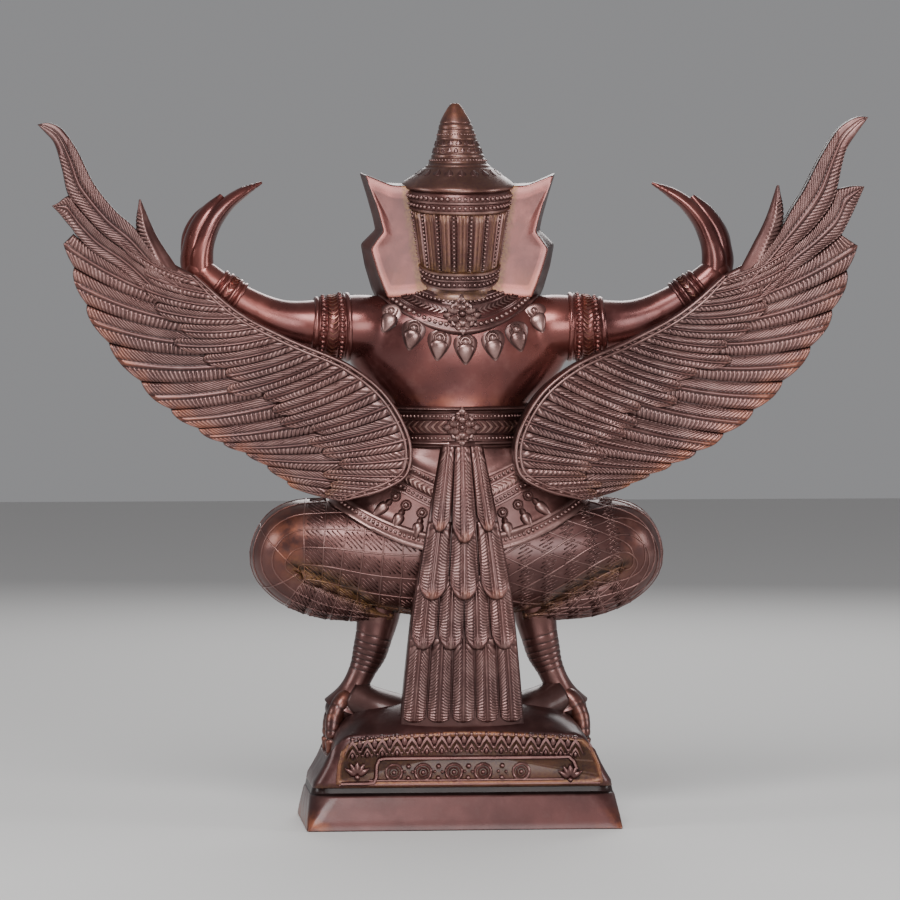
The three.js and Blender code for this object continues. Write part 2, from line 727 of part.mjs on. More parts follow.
function friezeOf(facing) {
  const face = facing * blockHalfDepth;
  const reach = blockHalfWidth - 8;
  const pitch = (2 * reach) / frieze.leaves;
  const leafTop = plinthHeight - 2;
  const leaves = Array.from({ length: frieze.leaves }, (_, i) => {
    const x = -reach + (i + 0.5) * pitch;
    const low = leafTop - frieze.leafTall;
    const out = face + facing * frieze.relief;
    const inside = face - facing * 2;
    const half = pitch * 0.49;
    const base = [[x - half, inside, low], [x + half, inside, low], [x, inside, leafTop]];
    const points = [...base, [x, out, low + 2], [x, out, leafTop - 6]];
    return solid(points, [0, 1, 3, 1, 4, 3, 0, 3, 4, 1, 2, 4, 0, 4, 2, 0, 2, 1]);
  });
  const roundels = Array.from({ length: frieze.roundels }, (_, i) => {
    const x = ((i - (frieze.roundels - 1) / 2) * reach * 1.6) / frieze.roundels;
    const outline = steps(8).slice(1).map((share) => {
      const [across, up] = [Math.cos(share * 2 * Math.PI), Math.sin(share * 2 * Math.PI)];
      return [x + across * frieze.roundelRadius, face, frieze.roundelLevel + up * frieze.roundelRadius];
    });
    const [crest, root] = [frieze.relief, -3].map((out) => [x, face + facing * out, frieze.roundelLevel]);
    return jewel(outline, crest, root, asIs);
  });
  const moulding = new THREE.BoxGeometry(reach * 1.7, frieze.relief + 2, 2.4);
  moulding.translate(0, face + (facing * (frieze.relief - 2)) / 2, leafTop - frieze.leafTall - 2.4);
  return joined([...leaves, ...roundels, solidOf(moulding.toNonIndexed())]);
}

const brass = new THREE.MeshStandardMaterial({ color: 0x5a322b, metalness: 0.85, roughness: 0.42 });

const sides = [1, -1];
const figureParts = [
  torso(),
  rosette([0, torsoAt(240)[2] + waistBelt.proud, 240], 11, 11.5, 1),
  rosette([0, -torsoAt(240)[1] - waistBelt.proud, 240], 11, 11.5, -1),
  rosette([0, 34, 306], 9.5, 11, 1),
  collar(),
  ...collarPendants(),
  crownBody(),
  spire(),
  head(),
  tailTrain(),
  skirtCloth(),
  frontCloth(),
  ...sides.flatMap((side) => [
    earOrnament(side), arm(side), hand(side), leg(side), wingOf(side),
  ]),
];

// What the figure is cut clear of: the plinth, and a plain strip over its carved borders.
function plinthClearance() {
  const reach = frieze.relief + seatGap;
  const strip = new THREE.BoxGeometry(2 * blockHalfWidth, 2 * (blockHalfDepth + reach), plinthHeight - footHeight);
  strip.translate(0, 0, (plinthHeight + footHeight) / 2);
  return plinthBlock(seatGap).add(solidOf(strip.toNonIndexed()));
}

const plinthSolid = joined([plinthBlock(0), friezeOf(1), friezeOf(-1)]);
const figureSolid = joined(figureParts).subtract(plinthClearance());

const garuda = new THREE.Group();
garuda.add(meshOf("garuda_figure", figureSolid, brass), meshOf("plinth", plinthSolid, brass));

export default garuda;
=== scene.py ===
import math

import bpy
import numpy as np
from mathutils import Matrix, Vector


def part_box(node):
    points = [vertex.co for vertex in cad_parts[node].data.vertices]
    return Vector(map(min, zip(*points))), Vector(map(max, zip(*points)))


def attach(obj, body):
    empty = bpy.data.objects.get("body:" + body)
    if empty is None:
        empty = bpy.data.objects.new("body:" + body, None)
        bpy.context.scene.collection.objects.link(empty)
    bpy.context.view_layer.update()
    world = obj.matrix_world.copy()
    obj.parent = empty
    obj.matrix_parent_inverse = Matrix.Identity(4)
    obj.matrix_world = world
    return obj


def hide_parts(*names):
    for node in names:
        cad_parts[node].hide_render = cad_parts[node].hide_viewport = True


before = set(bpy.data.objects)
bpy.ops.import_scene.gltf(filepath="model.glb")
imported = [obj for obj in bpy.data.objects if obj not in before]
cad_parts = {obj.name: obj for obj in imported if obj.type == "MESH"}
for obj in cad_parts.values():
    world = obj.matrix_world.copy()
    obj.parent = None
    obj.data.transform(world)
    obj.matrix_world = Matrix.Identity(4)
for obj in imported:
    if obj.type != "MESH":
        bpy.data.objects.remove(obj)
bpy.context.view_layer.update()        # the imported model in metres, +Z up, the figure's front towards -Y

rng = np.random.default_rng(7)

# Sizes are in millimetres as drawn, and placed() turns them into the frame's metres
mm = 0.001
drawn = {
    "height": 379,              # the figure's, above the level of the plinth's edge
    "edge": 56,
    "moundRise": 19,            # how far the plinth's top rises over its edge
}
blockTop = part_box("plinth")[1].z / mm - drawn["moundRise"]
figureScale = (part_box("garuda_figure")[1].z / mm - blockTop) / drawn["height"]


# From the figure's millimetres to the frame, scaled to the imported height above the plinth's block
def placed(p):
    level = blockTop + (p[..., 2] - drawn["edge"]) * figureScale
    return np.stack([p[..., 0] * figureScale, p[..., 1] * figureScale, level], -1) * mm


# The plinth is drawn at the frame's own size
def asDrawn(p):
    return p * mm


# The way back from the frame to the figure's millimetres
def drawnFrom(p):
    level = p[..., 2] - blockTop * mm
    return np.stack([p[..., 0], p[..., 1], level], -1) / mm / figureScale + [0, 0, drawn["edge"]]


# Straight from a at t = 0 to b at t = 1
def mixed(a, b, t):
    return a + (b - a) * t


# 0 below low, 1 above high, and an S between them
def eased(x, low, high):
    t = np.clip((x - low) / (high - low), 0, 1)
    return t * t * (3 - 2 * t)


# Vectors brought to length 1
def unit(v):
    return v / np.maximum(np.linalg.norm(v, axis=-1, keepdims=True), 1e-9)


# A hump of height 1 at a place, with a half width
def hump(x, place, half):
    return np.exp(-(((x - place) / half) ** 2))


# The height of a half circle over -1 to 1
def halfRound(x):
    return np.sqrt(np.maximum(0, 1 - x**2))


# Angles in even steps round a full turn
def fullTurn(count):
    return np.arange(count) / count * 2 * np.pi


# Points from their x, y and z, spread to one shape
def pointsAt(x, y, z):
    return np.stack(np.broadcast_arrays(x, y, z), -1)


# Numbers and arrays as float arrays of one shape
def alike(*values):
    return np.broadcast_arrays(*(np.asarray(value, float) for value in values))


# Lengths of the steps along a row of points
def steps(line):
    return np.linalg.norm(np.diff(line, axis=0), axis=1)


# Cubic through a table, each slope being that of its neighbours
def smoothTable(knots, values, x):
    k, v = np.asarray(knots, float), np.asarray(values, float)
    slope = np.gradient(v, k)
    i = np.clip(np.searchsorted(k, x, side="right") - 1, 0, len(k) - 2)
    h = k[i + 1] - k[i]
    w = np.clip((x - k[i]) / h, 0, 1)
    start = v[i] * (1 + 2 * w) * (1 - w) ** 2 + slope[i] * h * w * (1 - w) ** 2
    return start + v[i + 1] * w * w * (3 - 2 * w) + slope[i + 1] * h * w * w * (w - 1)


# Centripetal spline: a cubic between each two points, its end slopes weighted by the roots of the gaps
def curveThrough(points, at):
    p = np.asarray(points, float)
    padded = np.vstack([2 * p[0] - p[1], p, 2 * p[-1] - p[-2]])
    place = np.clip(at, 0, 1) * (len(p) - 1)
    i = np.minimum(place.astype(int), len(p) - 2)
    w = (place - i)[..., None]
    a, b, c, d = (padded[i + k] for k in range(4))
    gap = lambda u, v: np.maximum(np.sum((v - u) ** 2, -1, keepdims=True) ** 0.25, 1e-6)
    ab, bc, cd = gap(a, b), gap(b, c), gap(c, d)
    first = ((b - a) / ab - (c - a) / (ab + bc) + (c - b) / bc) * bc
    last = ((c - b) / bc - (d - b) / (bc + cd) + (d - c) / cd) * bc
    return b + first * w + (3 * (c - b) - 2 * first - last) * w**2 + (2 * (b - c) + first + last) * w**3


# The same spline, read off by its length
def evenlyAlong(points, share):
    fine = np.linspace(0, 1, 401)
    run = curveThrough(points, fine)
    length = np.concatenate([[0], np.cumsum(steps(run))])
    return curveThrough(points, np.interp(np.clip(share, 0, 1) * length[-1], length, fine))


# Shells: closed skins as arrays of points, quads and triangles, with three values painted on each point:
# relief from -1 in the cuts to 1 on the crests, rub for orange wear and dust for the ochre in corners;
# in a few places, noted there, these values are set as painted highlights or painted shade instead.
def shell(points, quads, tris, relief=0.0, rub=0.0, dust=0.0, turned=True):
    count = len(points)
    if turned:
        three = np.vstack([quads[:, :3], quads[:, [0, 2, 3]], tris])
        a, b, c = (points[three[:, k]] - points.mean(0) for k in range(3))
        if np.einsum("ij,ij->", a, np.cross(b, c)) < 0:
            quads, tris = quads[:, ::-1], tris[:, ::-1]
    paint = [np.broadcast_to(np.asarray(x, float), (count,)) for x in (relief, rub, dust)]
    return {"points": points, "quads": quads, "tris": tris, "paint": np.stack(paint, 1)}


# Several shells as one, each one's faces counted on from the points before it
def joinedShells(shells):
    starts = np.cumsum([0] + [len(s["points"]) for s in shells[:-1]])
    return {
        "points": np.vstack([s["points"] for s in shells]),
        "quads": np.vstack([s["quads"] + n for s, n in zip(shells, starts)]),
        "tris": np.vstack([s["tris"] + n for s, n in zip(shells, starts)]),
        "paint": np.vstack([s["paint"] for s in shells]),
    }


# Quads between the points of a grid whose columns close on themselves, and its rows too if wrapped
def gridQuads(rows, cols, wrapRows=False):
    r = np.arange(rows if wrapRows else rows - 1)[:, None]
    c = np.arange(cols)[None, :]
    r2, c2 = (r + 1) % rows, (c + 1) % cols
    return np.stack([r * cols + c, r * cols + c2, r2 * cols + c2, r2 * cols + c], -1).reshape(-1, 4)


noTris = np.zeros((0, 3), int)


# Rings of points, one ring a row, closed by one point at each end
def tube(grid, relief=0.0, rub=0.0, dust=0.0, poles=None):
    rows, cols, _ = grid.shape
    ends = grid[[0, -1]].mean(1) if poles is None else np.asarray(poles, float)
    n, ring = rows * cols, np.arange(cols)
    after = (ring + 1) % cols
    low = np.stack([np.full(cols, n), after, ring], 1)
    high = np.stack([np.full(cols, n + 1), n - cols + ring, n - cols + after], 1)

    def spread(value):
        full = np.broadcast_to(np.asarray(value, float), (rows, cols))
        return np.concatenate([full.ravel(), full[[0, -1]].mean(1)])

    points, tris = np.vstack([grid.reshape(-1, 3), ends]), np.vstack([low, high])
    return shell(points, gridQuads(rows, cols), tris, spread(relief), spread(rub), spread(dust))


# A ring whose section is a closed row of points as well
def hoop(grid, relief):
    rows, cols, _ = grid.shape
    tint = np.broadcast_to(relief, (rows, cols)).ravel()
    return shell(grid.reshape(-1, 3), gridQuads(rows, cols, True), noTris, tint)


# Where something sits on a surface(u, v, lift): its point, and the directions across, up and out from there
def spotsOn(surface, u, v, turn=0.0):
    u, v = (np.atleast_1d(x) for x in alike(u, v))
    e = 1e-3
    origin = surface(u, v, 0.0)
    across = unit(surface(u + e, v, 0.0) - surface(u - e, v, 0.0))
    rise = surface(u, v + e, 0.0) - surface(u, v - e, 0.0)
    out = unit(np.cross(across, rise))
    away = np.sum(out * (surface(u, v, 1.0) - origin), -1, keepdims=True)
    out = np.where(away < 0, -out, out)
    up = unit(rise - across * np.sum(across * rise, -1, keepdims=True))
    c, s = np.cos(turn), np.sin(turn)
    c, s = (np.broadcast_to(x, (len(origin),))[:, None] for x in (c, s))
    return origin, across * c + up * s, up * c - across * s, out


# Copies of a small shape, given in units across, up and out, set on those places
def stamped(motif, spots, wide, tall=None, high=None, sink=0.0, relief=None, dust=0.0):
    origin, across, up, out = spots
    count, p = len(origin), motif["points"]
    tall = wide if tall is None else tall
    high = wide if high is None else high
    size = [np.broadcast_to(x, (count,))[:, None, None] for x in (wide, tall, high)]
    parts = [p[None, :, k, None] * size[k] for k in range(3)]
    points = origin[:, None] + across[:, None] * parts[0] + up[:, None] * parts[1]
    points = points + out[:, None] * (parts[2] - sink)
    mirror = np.sum(np.cross(across, up) * out, -1) < 0
    shift = np.arange(count)[:, None, None] * len(p)

    def copies(faces):
        both = np.where(mirror[:, None, None], faces[None, :, ::-1], faces[None])
        return (both + shift).reshape(-1, faces.shape[1])

    tint = motif["paint"][:, 0] if relief is None else relief
    tint = np.broadcast_to(tint, (count, len(p))).ravel()
    quads, tris = copies(motif["quads"]), copies(motif["tris"])
    return shell(points.reshape(-1, 3), quads, tris, tint, dust=dust, turned=False)


# A half-round cord laid on a surface along u and v
def cordOn(surface, u, v, half, height, relief=0.7, closed=False):
    u, v = alike(u, v)
    line = surface(u, v, 0.0)
    if closed:
        along = np.roll(line, -1, 0) - np.roll(line, 1, 0)
    else:
        along = np.gradient(line, axis=0)
    out = spotsOn(surface, u, v)[3]
    aside = unit(np.cross(along, out))
    section = [(-1, -0.5), (-0.8, 0.35), (-0.35, 0.9), (0.35, 0.9), (0.8, 0.35), (1, -0.5)]
    grid = np.stack([line + aside * a * half + out * h * height for a, h in section], 1)
    tint = np.array([-0.8, 0.2, 1, 1, 0.2, -0.8])[None, :] * relief
    return hoop(grid, tint) if closed else tube(grid, tint)


# A band round a closed surface, its section given as levels and lifts, paler where it is lifted more
def bandOn(surface, angles, section):
    levels, lifts = np.array(section, float).T
    grid = surface(angles[None, :], levels[:, None], lifts[:, None])
    return hoop(grid, np.clip((lifts - np.median(lifts)) * 0.6, -0.7, 0.7)[:, None])


# Angles at even distances round a closed surface at one level
def evenAngles(surface, level, count, start=0.0):
    fine = np.linspace(0, 2 * np.pi, 721) + start
    line = surface(fine, np.full(721, float(level)), 0.0)
    run = np.concatenate([[0], np.cumsum(steps(line))])
    return np.interp(np.arange(count) / count * run[-1], run, fine)


# The length once round a closed surface at one level
def girth(surface, level):
    return steps(surface(np.linspace(0, 2 * np.pi, 181), np.full(181, float(level)), 0.0)).sum()


# Small shapes that are set in rows: units across, up and out

# A round boss, its rings given as radii and heights
def beadMotif(sides=6, rings=((1, -0.4), (0.84, 0.5), (0.45, 0.88))):
    turn = fullTurn(sides)
    grid = np.stack([pointsAt(np.cos(turn) * r, np.sin(turn) * r, h) for r, h in rings])
    tint = np.array([-0.9] + [0.4] * (len(rings) - 2) + [1.0])[:, None]
    return tube(grid, tint, poles=[[0, 0, -0.4], [0, 0, 1]])


# A V-shaped bar that points up
def chevronMotif(half=0.3, rise=0.62):
    a = np.array([-1, -0.5, 0, 0.5, 1])
    b = rise - 2 * rise * np.abs(a) ** 1.3
    thin = np.array([0.3, 0.9, 1, 0.9, 0.3])
    section = [(-half, -0.4), (-half * 0.6, 0.7), (half * 0.6, 0.7), (half, -0.4)]
    grid = np.stack([pointsAt(a, b + d * thin, h * (0.5 + 0.5 * thin)) for d, h in section], 1)
    return tube(grid, np.array([-0.9, 0.8, 0.8, -0.9])[None, :])


# Values over the top of a strip, and one value for the points under it
def stripPaint(top, rows, cols, under, below=2):
    return np.concatenate([np.broadcast_to(top, (rows, cols)), np.full((rows, below), under)], 1)


# A cushion whose half width is width(b) at b along it, bulging by height(b) along its middle
def leafMotif(rows, cols, width, height, rib=0.0):
    b = -np.cos(np.linspace(0.04, 0.97, rows) * np.pi)
    q = np.linspace(-1, 1, cols)
    bulge = halfRound(q) + rib * hump(q, 0, 0.2)
    top = pointsAt(q * width(b)[:, None], b[:, None], height(b)[:, None] * bulge)
    under = pointsAt(0, b, -0.4)[:, None]
    tint = stripPaint(mixed(-0.9, 0.7, bulge / bulge.max()), rows, cols, -0.9, 1)
    return tube(np.concatenate([top, under], 1), tint)


# A ring of radius 1 with a rounded top
def ringMotif(sides=14, half=0.26):
    turn = fullTurn(sides)
    section = [(1 - half, -0.4), (1 - half * 0.6, 0.6), (1, 0.9), (1 + half * 0.6, 0.6), (1 + half, -0.4)]
    grid = np.stack([pointsAt(np.cos(turn) * r, np.sin(turn) * r, h) for r, h in section], 1)
    return hoop(grid, np.array([-0.9, 0.3, 0.9, 0.3, -0.9])[None, :])


bead = beadMotif()
dome = beadMotif(14, ((1, -0.4), (0.97, 0.2), (0.82, 0.55), (0.55, 0.84), (0.25, 0.97)))
chevron = chevronMotif()
crescent = chevronMotif(0.52, 0.75)
petal = leafMotif(
    7, 5, lambda b: 0.62 * halfRound(b) * (1 - 0.3 * b), lambda b: 0.4 + 0.6 * halfRound(b), 0.3
)
dropWidth = lambda b, lean: 0.5 * halfRound(b) * (1 + lean * b) ** 1.2
teardrop = leafMotif(12, 11, lambda b: dropWidth(b, 0.45), lambda b: 0.9 * halfRound(b) * (1 + 0.3 * b))
teardropUp = leafMotif(9, 7, lambda b: dropWidth(b, -0.45), lambda b: 0.9 * halfRound(b))
leafUp = leafMotif(9, 9, lambda b: 0.62 * halfRound(b) * (1 - 0.45 * b), lambda b: 0.5 + 0 * b, 0.35)
ring = ringMotif()
stroke = leafMotif(3, 3, lambda b: 0.13 + 0 * b, lambda b: 0.55 + 0 * b)


# A row of beads round a closed surface, spaced by their own size
def beadRow(surface, level, radius, pitch=2.25):
    count = int(girth(surface, level) / (radius * pitch))
    angles = evenAngles(surface, level, count, 0.013)
    sizes = radius * rng.uniform(0.9, 1.06, count)
    return stamped(bead, spotsOn(surface, angles, level), sizes)


# Chevrons round a closed surface that point away from the middle of the back and of the front
def chevronRow(surface, level, half, pitch, dust=0.0, inwards=False):
    count = int(girth(surface, level) / pitch)
    angles = evenAngles(surface, level, count, 0.02)
    point = np.where(np.cos(angles) * np.sin(angles) > 0, 1, -1) * (-1 if inwards else 1) * np.pi / 2
    return stamped(crescent, spotsOn(surface, angles, level, point), half, pitch * 0.62, 1.7, dust=dust)


# Finishes. The patina group mixes the colours of aged brass from three painted values and noise
finish = {
    "skin": {
        "base": (0.200, 0.057, 0.047), "deep": (0.090, 0.025, 0.023), "pale": (0.27, 0.13, 0.115),
        "rough": 0.28, "wear": 0.45, "bump": 0.08,
    },
    "carved": {
        "base": (0.120, 0.048, 0.042), "deep": (0.068, 0.026, 0.024), "pale": (0.36, 0.215, 0.195),
        "rough": 0.33, "wear": 0.8, "bump": 0.18,
    },
    "plinth": {
        "base": (0.115, 0.038, 0.035), "deep": (0.060, 0.020, 0.019), "pale": (0.30, 0.16, 0.145),
        "rough": 0.36, "wear": 0.8, "bump": 0.22,
    },
    "clouds": (16, 3, 0.55),       # scale, detail and roughness of the noises
    "blotches": (85, 5, 0.62),
    "grain": (620, 3, 0.6),
    "bumpDistance": 0.0006,
    "dark": (0.010, 0.0045, 0.0042),
    "orange": (0.36, 0.105, 0.045),
    "ochre": (0.29, 0.15, 0.05),
    "metallic": 0.80,
    "coat": 0.35,
    "coatRough": 0.22,
}


# Colour: deep to base by the clouds, pale in blotches and on crests, orange where rubbed, ochre where dusty
# and dark in the cuts, and pale or dark where those values are set as painted highlight or shade. Roughness
# grows in cuts and dust and falls on crests; height is blotches and grain.
def patinaGroup():
    group = bpy.data.node_groups.new("patina", "ShaderNodeTree")
    sockets = {
        "INPUT": {"Vector": ("Vector",), "Float": ("Relief", "Rub", "Dust", "Rough", "Wear"),
                  "Color": ("Base", "Deep", "Pale")},
        "OUTPUT": {"Color": ("Color",), "Float": ("Roughness", "Height")},
    }
    for way, kinds in sockets.items():
        for kind, names in kinds.items():
            for name in names:
                group.interface.new_socket(name, in_out=way, socket_type="NodeSocket" + kind)
    nodes, links = group.nodes, group.links
    source, result = nodes.new("NodeGroupInput"), nodes.new("NodeGroupOutput")

    def noise(scale, detail, rough):
        node = nodes.new("ShaderNodeTexNoise")
        node.inputs["Scale"].default_value = scale
        node.inputs["Detail"].default_value = detail
        node.inputs["Roughness"].default_value = rough
        links.new(source.outputs["Vector"], node.inputs["Vector"])
        return node.outputs["Fac"]

    # value mapped from low..high to 0..1, or to the range given
    def mapped(value, low, high, start=0.0, end=1.0):
        node = nodes.new("ShaderNodeMapRange")
        for socket, number in zip(("From Min", "From Max", "To Min", "To Max"), (low, high, start, end)):
            node.inputs[socket].default_value = number
        links.new(value, node.inputs["Value"])
        return node.outputs["Result"]

    def maths(kind, a, b):
        node = nodes.new("ShaderNodeMath")
        node.operation = kind
        for socket, value in zip(node.inputs, (a, b)):
            if isinstance(value, (int, float)):
                socket.default_value = value
            else:
                links.new(value, socket)
        return node.outputs["Value"]

    def blended(amount, first, second):
        node = nodes.new("ShaderNodeMix")
        node.data_type = "RGBA"
        links.new(amount, node.inputs["Factor"])
        for socket, value in ((node.inputs[6], first), (node.inputs[7], second)):
            if isinstance(value, tuple):
                socket.default_value = (*value, 1)
            else:
                links.new(value, socket)
        return node.outputs[2]

    clouds, blotches, grain = (noise(*finish[k]) for k in ("clouds", "blotches", "grain"))
    relief, rub, dust = (source.outputs[k] for k in ("Relief", "Rub", "Dust"))
    cut, crest = mapped(relief, -0.05, -0.85), mapped(relief, 0.25, 1.0)
    colour = blended(mapped(clouds, 0.36, 0.62), source.outputs["Deep"], source.outputs["Base"])
    mottle = mapped(blotches, 0.54, 0.80, 0.0, 0.25)
    colour = blended(mottle, colour, source.outputs["Pale"])
    worn = maths("MULTIPLY", crest, mapped(blotches, 0.35, 0.62, 0.35, 0.95))
    colour = blended(maths("MULTIPLY", worn, source.outputs["Wear"]), colour, source.outputs["Pale"])
    colour = blended(maths("MULTIPLY", rub, mapped(blotches, 0.38, 0.58)), colour, finish["orange"])
    colour = blended(maths("MULTIPLY", dust, mapped(grain, 0.36, 0.60)), colour, finish["ochre"])
    colour = blended(mapped(cut, 0, 1, 0, 0.88), colour, finish["dark"])
    links.new(colour, result.inputs["Color"])
    rough = maths("ADD", source.outputs["Rough"], mapped(blotches, 0.3, 0.7, -0.07, 0.13))
    rough = maths("ADD", rough, maths("MULTIPLY", cut, 0.22))
    rough = maths("ADD", rough, maths("MULTIPLY", dust, 0.28))
    rough = maths("SUBTRACT", rough, maths("MULTIPLY", crest, 0.07))
    links.new(rough, result.inputs["Roughness"])
    links.new(maths("ADD", maths("MULTIPLY", grain, 0.35), blotches), result.inputs["Height"])
    return group


# One brass: the patina group with a look's colours, fed by the painted values
def brassMaterial(name, look):
    material = bpy.data.materials.new(name)
    material.use_nodes = True
    nodes, links = material.node_tree.nodes, material.node_tree.links
    shader = nodes["Principled BSDF"]
    patina = nodes.new("ShaderNodeGroup")
    patina.node_tree = bpy.data.node_groups["patina"]
    place = nodes.new("ShaderNodeTexCoord")
    links.new(place.outputs["Object"], patina.inputs["Vector"])
    for socket in ("Relief", "Rub", "Dust"):
        value = nodes.new("ShaderNodeAttribute")
        value.attribute_name = socket.lower()
        links.new(value.outputs["Fac"], patina.inputs[socket])
    for socket in ("Base", "Deep", "Pale"):
        patina.inputs[socket].default_value = (*look[socket.lower()], 1)
    for socket in ("Rough", "Wear"):
        patina.inputs[socket].default_value = look[socket.lower()]
    rise = nodes.new("ShaderNodeBump")
    rise.inputs["Strength"].default_value = look["bump"]
    rise.inputs["Distance"].default_value = finish["bumpDistance"]
    links.new(patina.outputs["Height"], rise.inputs["Height"])
    links.new(patina.outputs["Color"], shader.inputs["Base Color"])
    links.new(patina.outputs["Roughness"], shader.inputs["Roughness"])
    links.new(rise.outputs["Normal"], shader.inputs["Normal"])
    shader.inputs["Metallic"].default_value = finish["metallic"]
    shader.inputs["Coat Weight"].default_value = finish["coat"]
    shader.inputs["Coat Roughness"].default_value = finish["coatRough"]
    return material


patinaGroup()
skinBrass = brassMaterial("polished_brass_patina", finish["skin"])
carvedBrass = brassMaterial("carved_brass_patina", finish["carved"])
plinthBrass = brassMaterial("plinth_brass_patina", finish["plinth"])


# One piece of the scene from shells: placed in the frame, and smooth but for edges sharper than sharp
def makePiece(name, shells, material, node="garuda_figure", place=placed, sharp=None):
    whole = joinedShells(shells)
    points, quads, tris = whole["points"], whole["quads"], whole["tris"]
    mesh = bpy.data.meshes.new(name)
    mesh.vertices.add(len(points))
    mesh.vertices.foreach_set("co", place(points).astype(np.float32).ravel())
    mesh.loops.add(quads.size + tris.size)
    mesh.loops.foreach_set("vertex_index", np.concatenate([quads.ravel(), tris.ravel()]).astype(np.int32))
    starts = np.concatenate([np.arange(len(quads)) * 4, quads.size + np.arange(len(tris)) * 3])
    mesh.polygons.add(len(starts))
    mesh.polygons.foreach_set("loop_start", starts.astype(np.int32))
    mesh.update(calc_edges=True)
    mesh.validate()
    paintOn(mesh, whole["paint"])
    mesh.shade_smooth()
    if sharp is not None:
        mesh.set_sharp_from_angle(angle=math.radians(sharp))
    return finishPiece(name, mesh, material, node)


# The three painted values as attributes of a mesh's points
def paintOn(mesh, paint):
    for k, title in enumerate(("relief", "rub", "dust")):
        layer = mesh.attributes.get(title) or mesh.attributes.new(title, "FLOAT", "POINT")
        layer.data.foreach_set("value", paint[:, k].astype(np.float32))


# What all pieces share: a brass, the body they ride on, and the CAD node they stand for, which is hidden
def finishPiece(name, mesh, material, node):
    piece = bpy.data.objects.new(name, mesh)
    bpy.context.scene.collection.objects.link(piece)
    mesh.materials.clear()
    mesh.materials.append(material)
    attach(piece, "root")
    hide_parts(node)
    print(f"{name}: {len(mesh.loops) - 2 * len(mesh.polygons)} triangles")
    return piece


# A mesh's points and normals as arrays
def readMesh(mesh):
    arrays = [np.empty(len(mesh.vertices) * 3, np.float32) for _ in range(2)]
    for title, values in zip(("co", "normal"), arrays):
        mesh.vertices.foreach_get(title, values)
    return [values.reshape(-1, 3) for values in arrays]


# Torso: levels, half widths, depths to the front and to the back, and the forms fused with it
torso = {
    "levels": [146, 152, 188, 224, 242, 257, 266, 278, 292, 306, 313, 317, 319],
    "wide": [20, 32, 44, 40, 37, 46.5, 56.5, 65, 67.5, 63, 54, 34, 12],
    "front": [16, 25, 33, 29, 27, 30, 33, 37, 38, 33, 25, 17, 8],
    "back": [17, 24, 28, 26, 25, 25, 26, 28, 29, 28, 23, 17, 8],
    "voxel": 1.85,
    "smoothing": 10,
    "chest": ([24, -24, 291], [23, 13, 17]),       # middle and radii
    "belly": ([0, -19, 258], [26, 11, 22]),
    "navel": {"level": 259, "radius": 3.2, "depth": 1.2},
}


# Half ellipses behind and in front at each level
def torsoSurface(angle, level, lift):
    wide, front, back = (smoothTable(torso["levels"], torso[k], level) for k in ("wide", "front", "back"))
    deep = np.where(np.sin(angle) > 0, back, front)
    return pointsAt(np.cos(angle) * (wide + lift), np.sin(angle) * (deep + lift), level)


# A limb: ellipses square to a path, inPlane wide in the plane of the wings and deep from front to back
def limbSurface(limb, side=1):
    path = limb["path"]

    def surface(angle, t, lift):
        angle, t, lift = alike(angle, t, lift)
        centre = evenlyAlong(path, t)
        run = unit(evenlyAlong(path, np.minimum(t + 4e-3, 1)) - evenlyAlong(path, np.maximum(t - 4e-3, 0)))
        if limb.get("level"):
            across = np.zeros_like(run) + [1.0, 0, 0]
        else:
            across = unit(pointsAt(-run[..., 2], 0, run[..., 0]))
        depth = np.cross(run, across)
        knots = limb.get("knots", np.linspace(0, 1, len(limb["inPlane"])))
        wide = smoothTable(knots, limb["inPlane"], t) + lift
        thick = smoothTable(knots, limb["deep"], t) + lift
        p = centre + across * (np.cos(angle) * wide)[..., None] + depth * (np.sin(angle) * thick)[..., None]
        return p * [side, 1, 1]

    return surface


# Steps along a limb and angles round it
def limbGrid(rows, cols):
    return np.linspace(0, 1, rows)[:, None], fullTurn(cols)[None, :]


# A limb as a shell, lifted evenly, up to the share end of its length
def limbShell(limb, rows, cols, side=1, lift=0.0, end=1.0, **paint):
    t = np.linspace(0, end, rows)[:, None]
    return tube(limbSurface(limb, side)(fullTurn(cols)[None, :], t, lift), **paint)


# A closed round body with three radii
def eggShell(centre, radii, rows=24, cols=32, **paint):
    polar = (np.linspace(0.04, 0.96, rows) * np.pi)[:, None]
    angle = fullTurn(cols)
    p = pointsAt(np.sin(polar) * np.cos(angle), np.sin(polar) * np.sin(angle), np.cos(polar))
    poles = np.array([[0, 0, 1], [0, 0, -1]])
    return tube(p * radii + centre, poles=poles * radii + centre, **paint)


# Joins shells into one skin with soft creases: a fine remesh, smoothed, then lifted and painted by relieve
def fusedPiece(name, shells, material, voxel, smoothing, relieve):
    rough = makePiece(name + "_rough", shells, material)
    remesh = rough.modifiers.new("remesh", "REMESH")
    remesh.mode = "VOXEL"
    remesh.voxel_size = voxel * mm
    smoother = rough.modifiers.new("smooth", "SMOOTH")
    smoother.factor, smoother.iterations = 0.5, smoothing
    mesh = bpy.data.meshes.new_from_object(rough.evaluated_get(bpy.context.evaluated_depsgraph_get()))
    bpy.data.objects.remove(rough)
    mesh.name = name
    points, normals = readMesh(mesh)
    points = points.astype(float)
    lift, paint = relieve(drawnFrom(points), normals)
    mesh.vertices.foreach_set("co", (points + normals * lift[:, None] * mm).astype(np.float32).ravel())
    paintOn(mesh, paint)
    mesh.shade_smooth()
    mesh.update()
    return finishPiece(name, mesh, material, "garuda_figure")


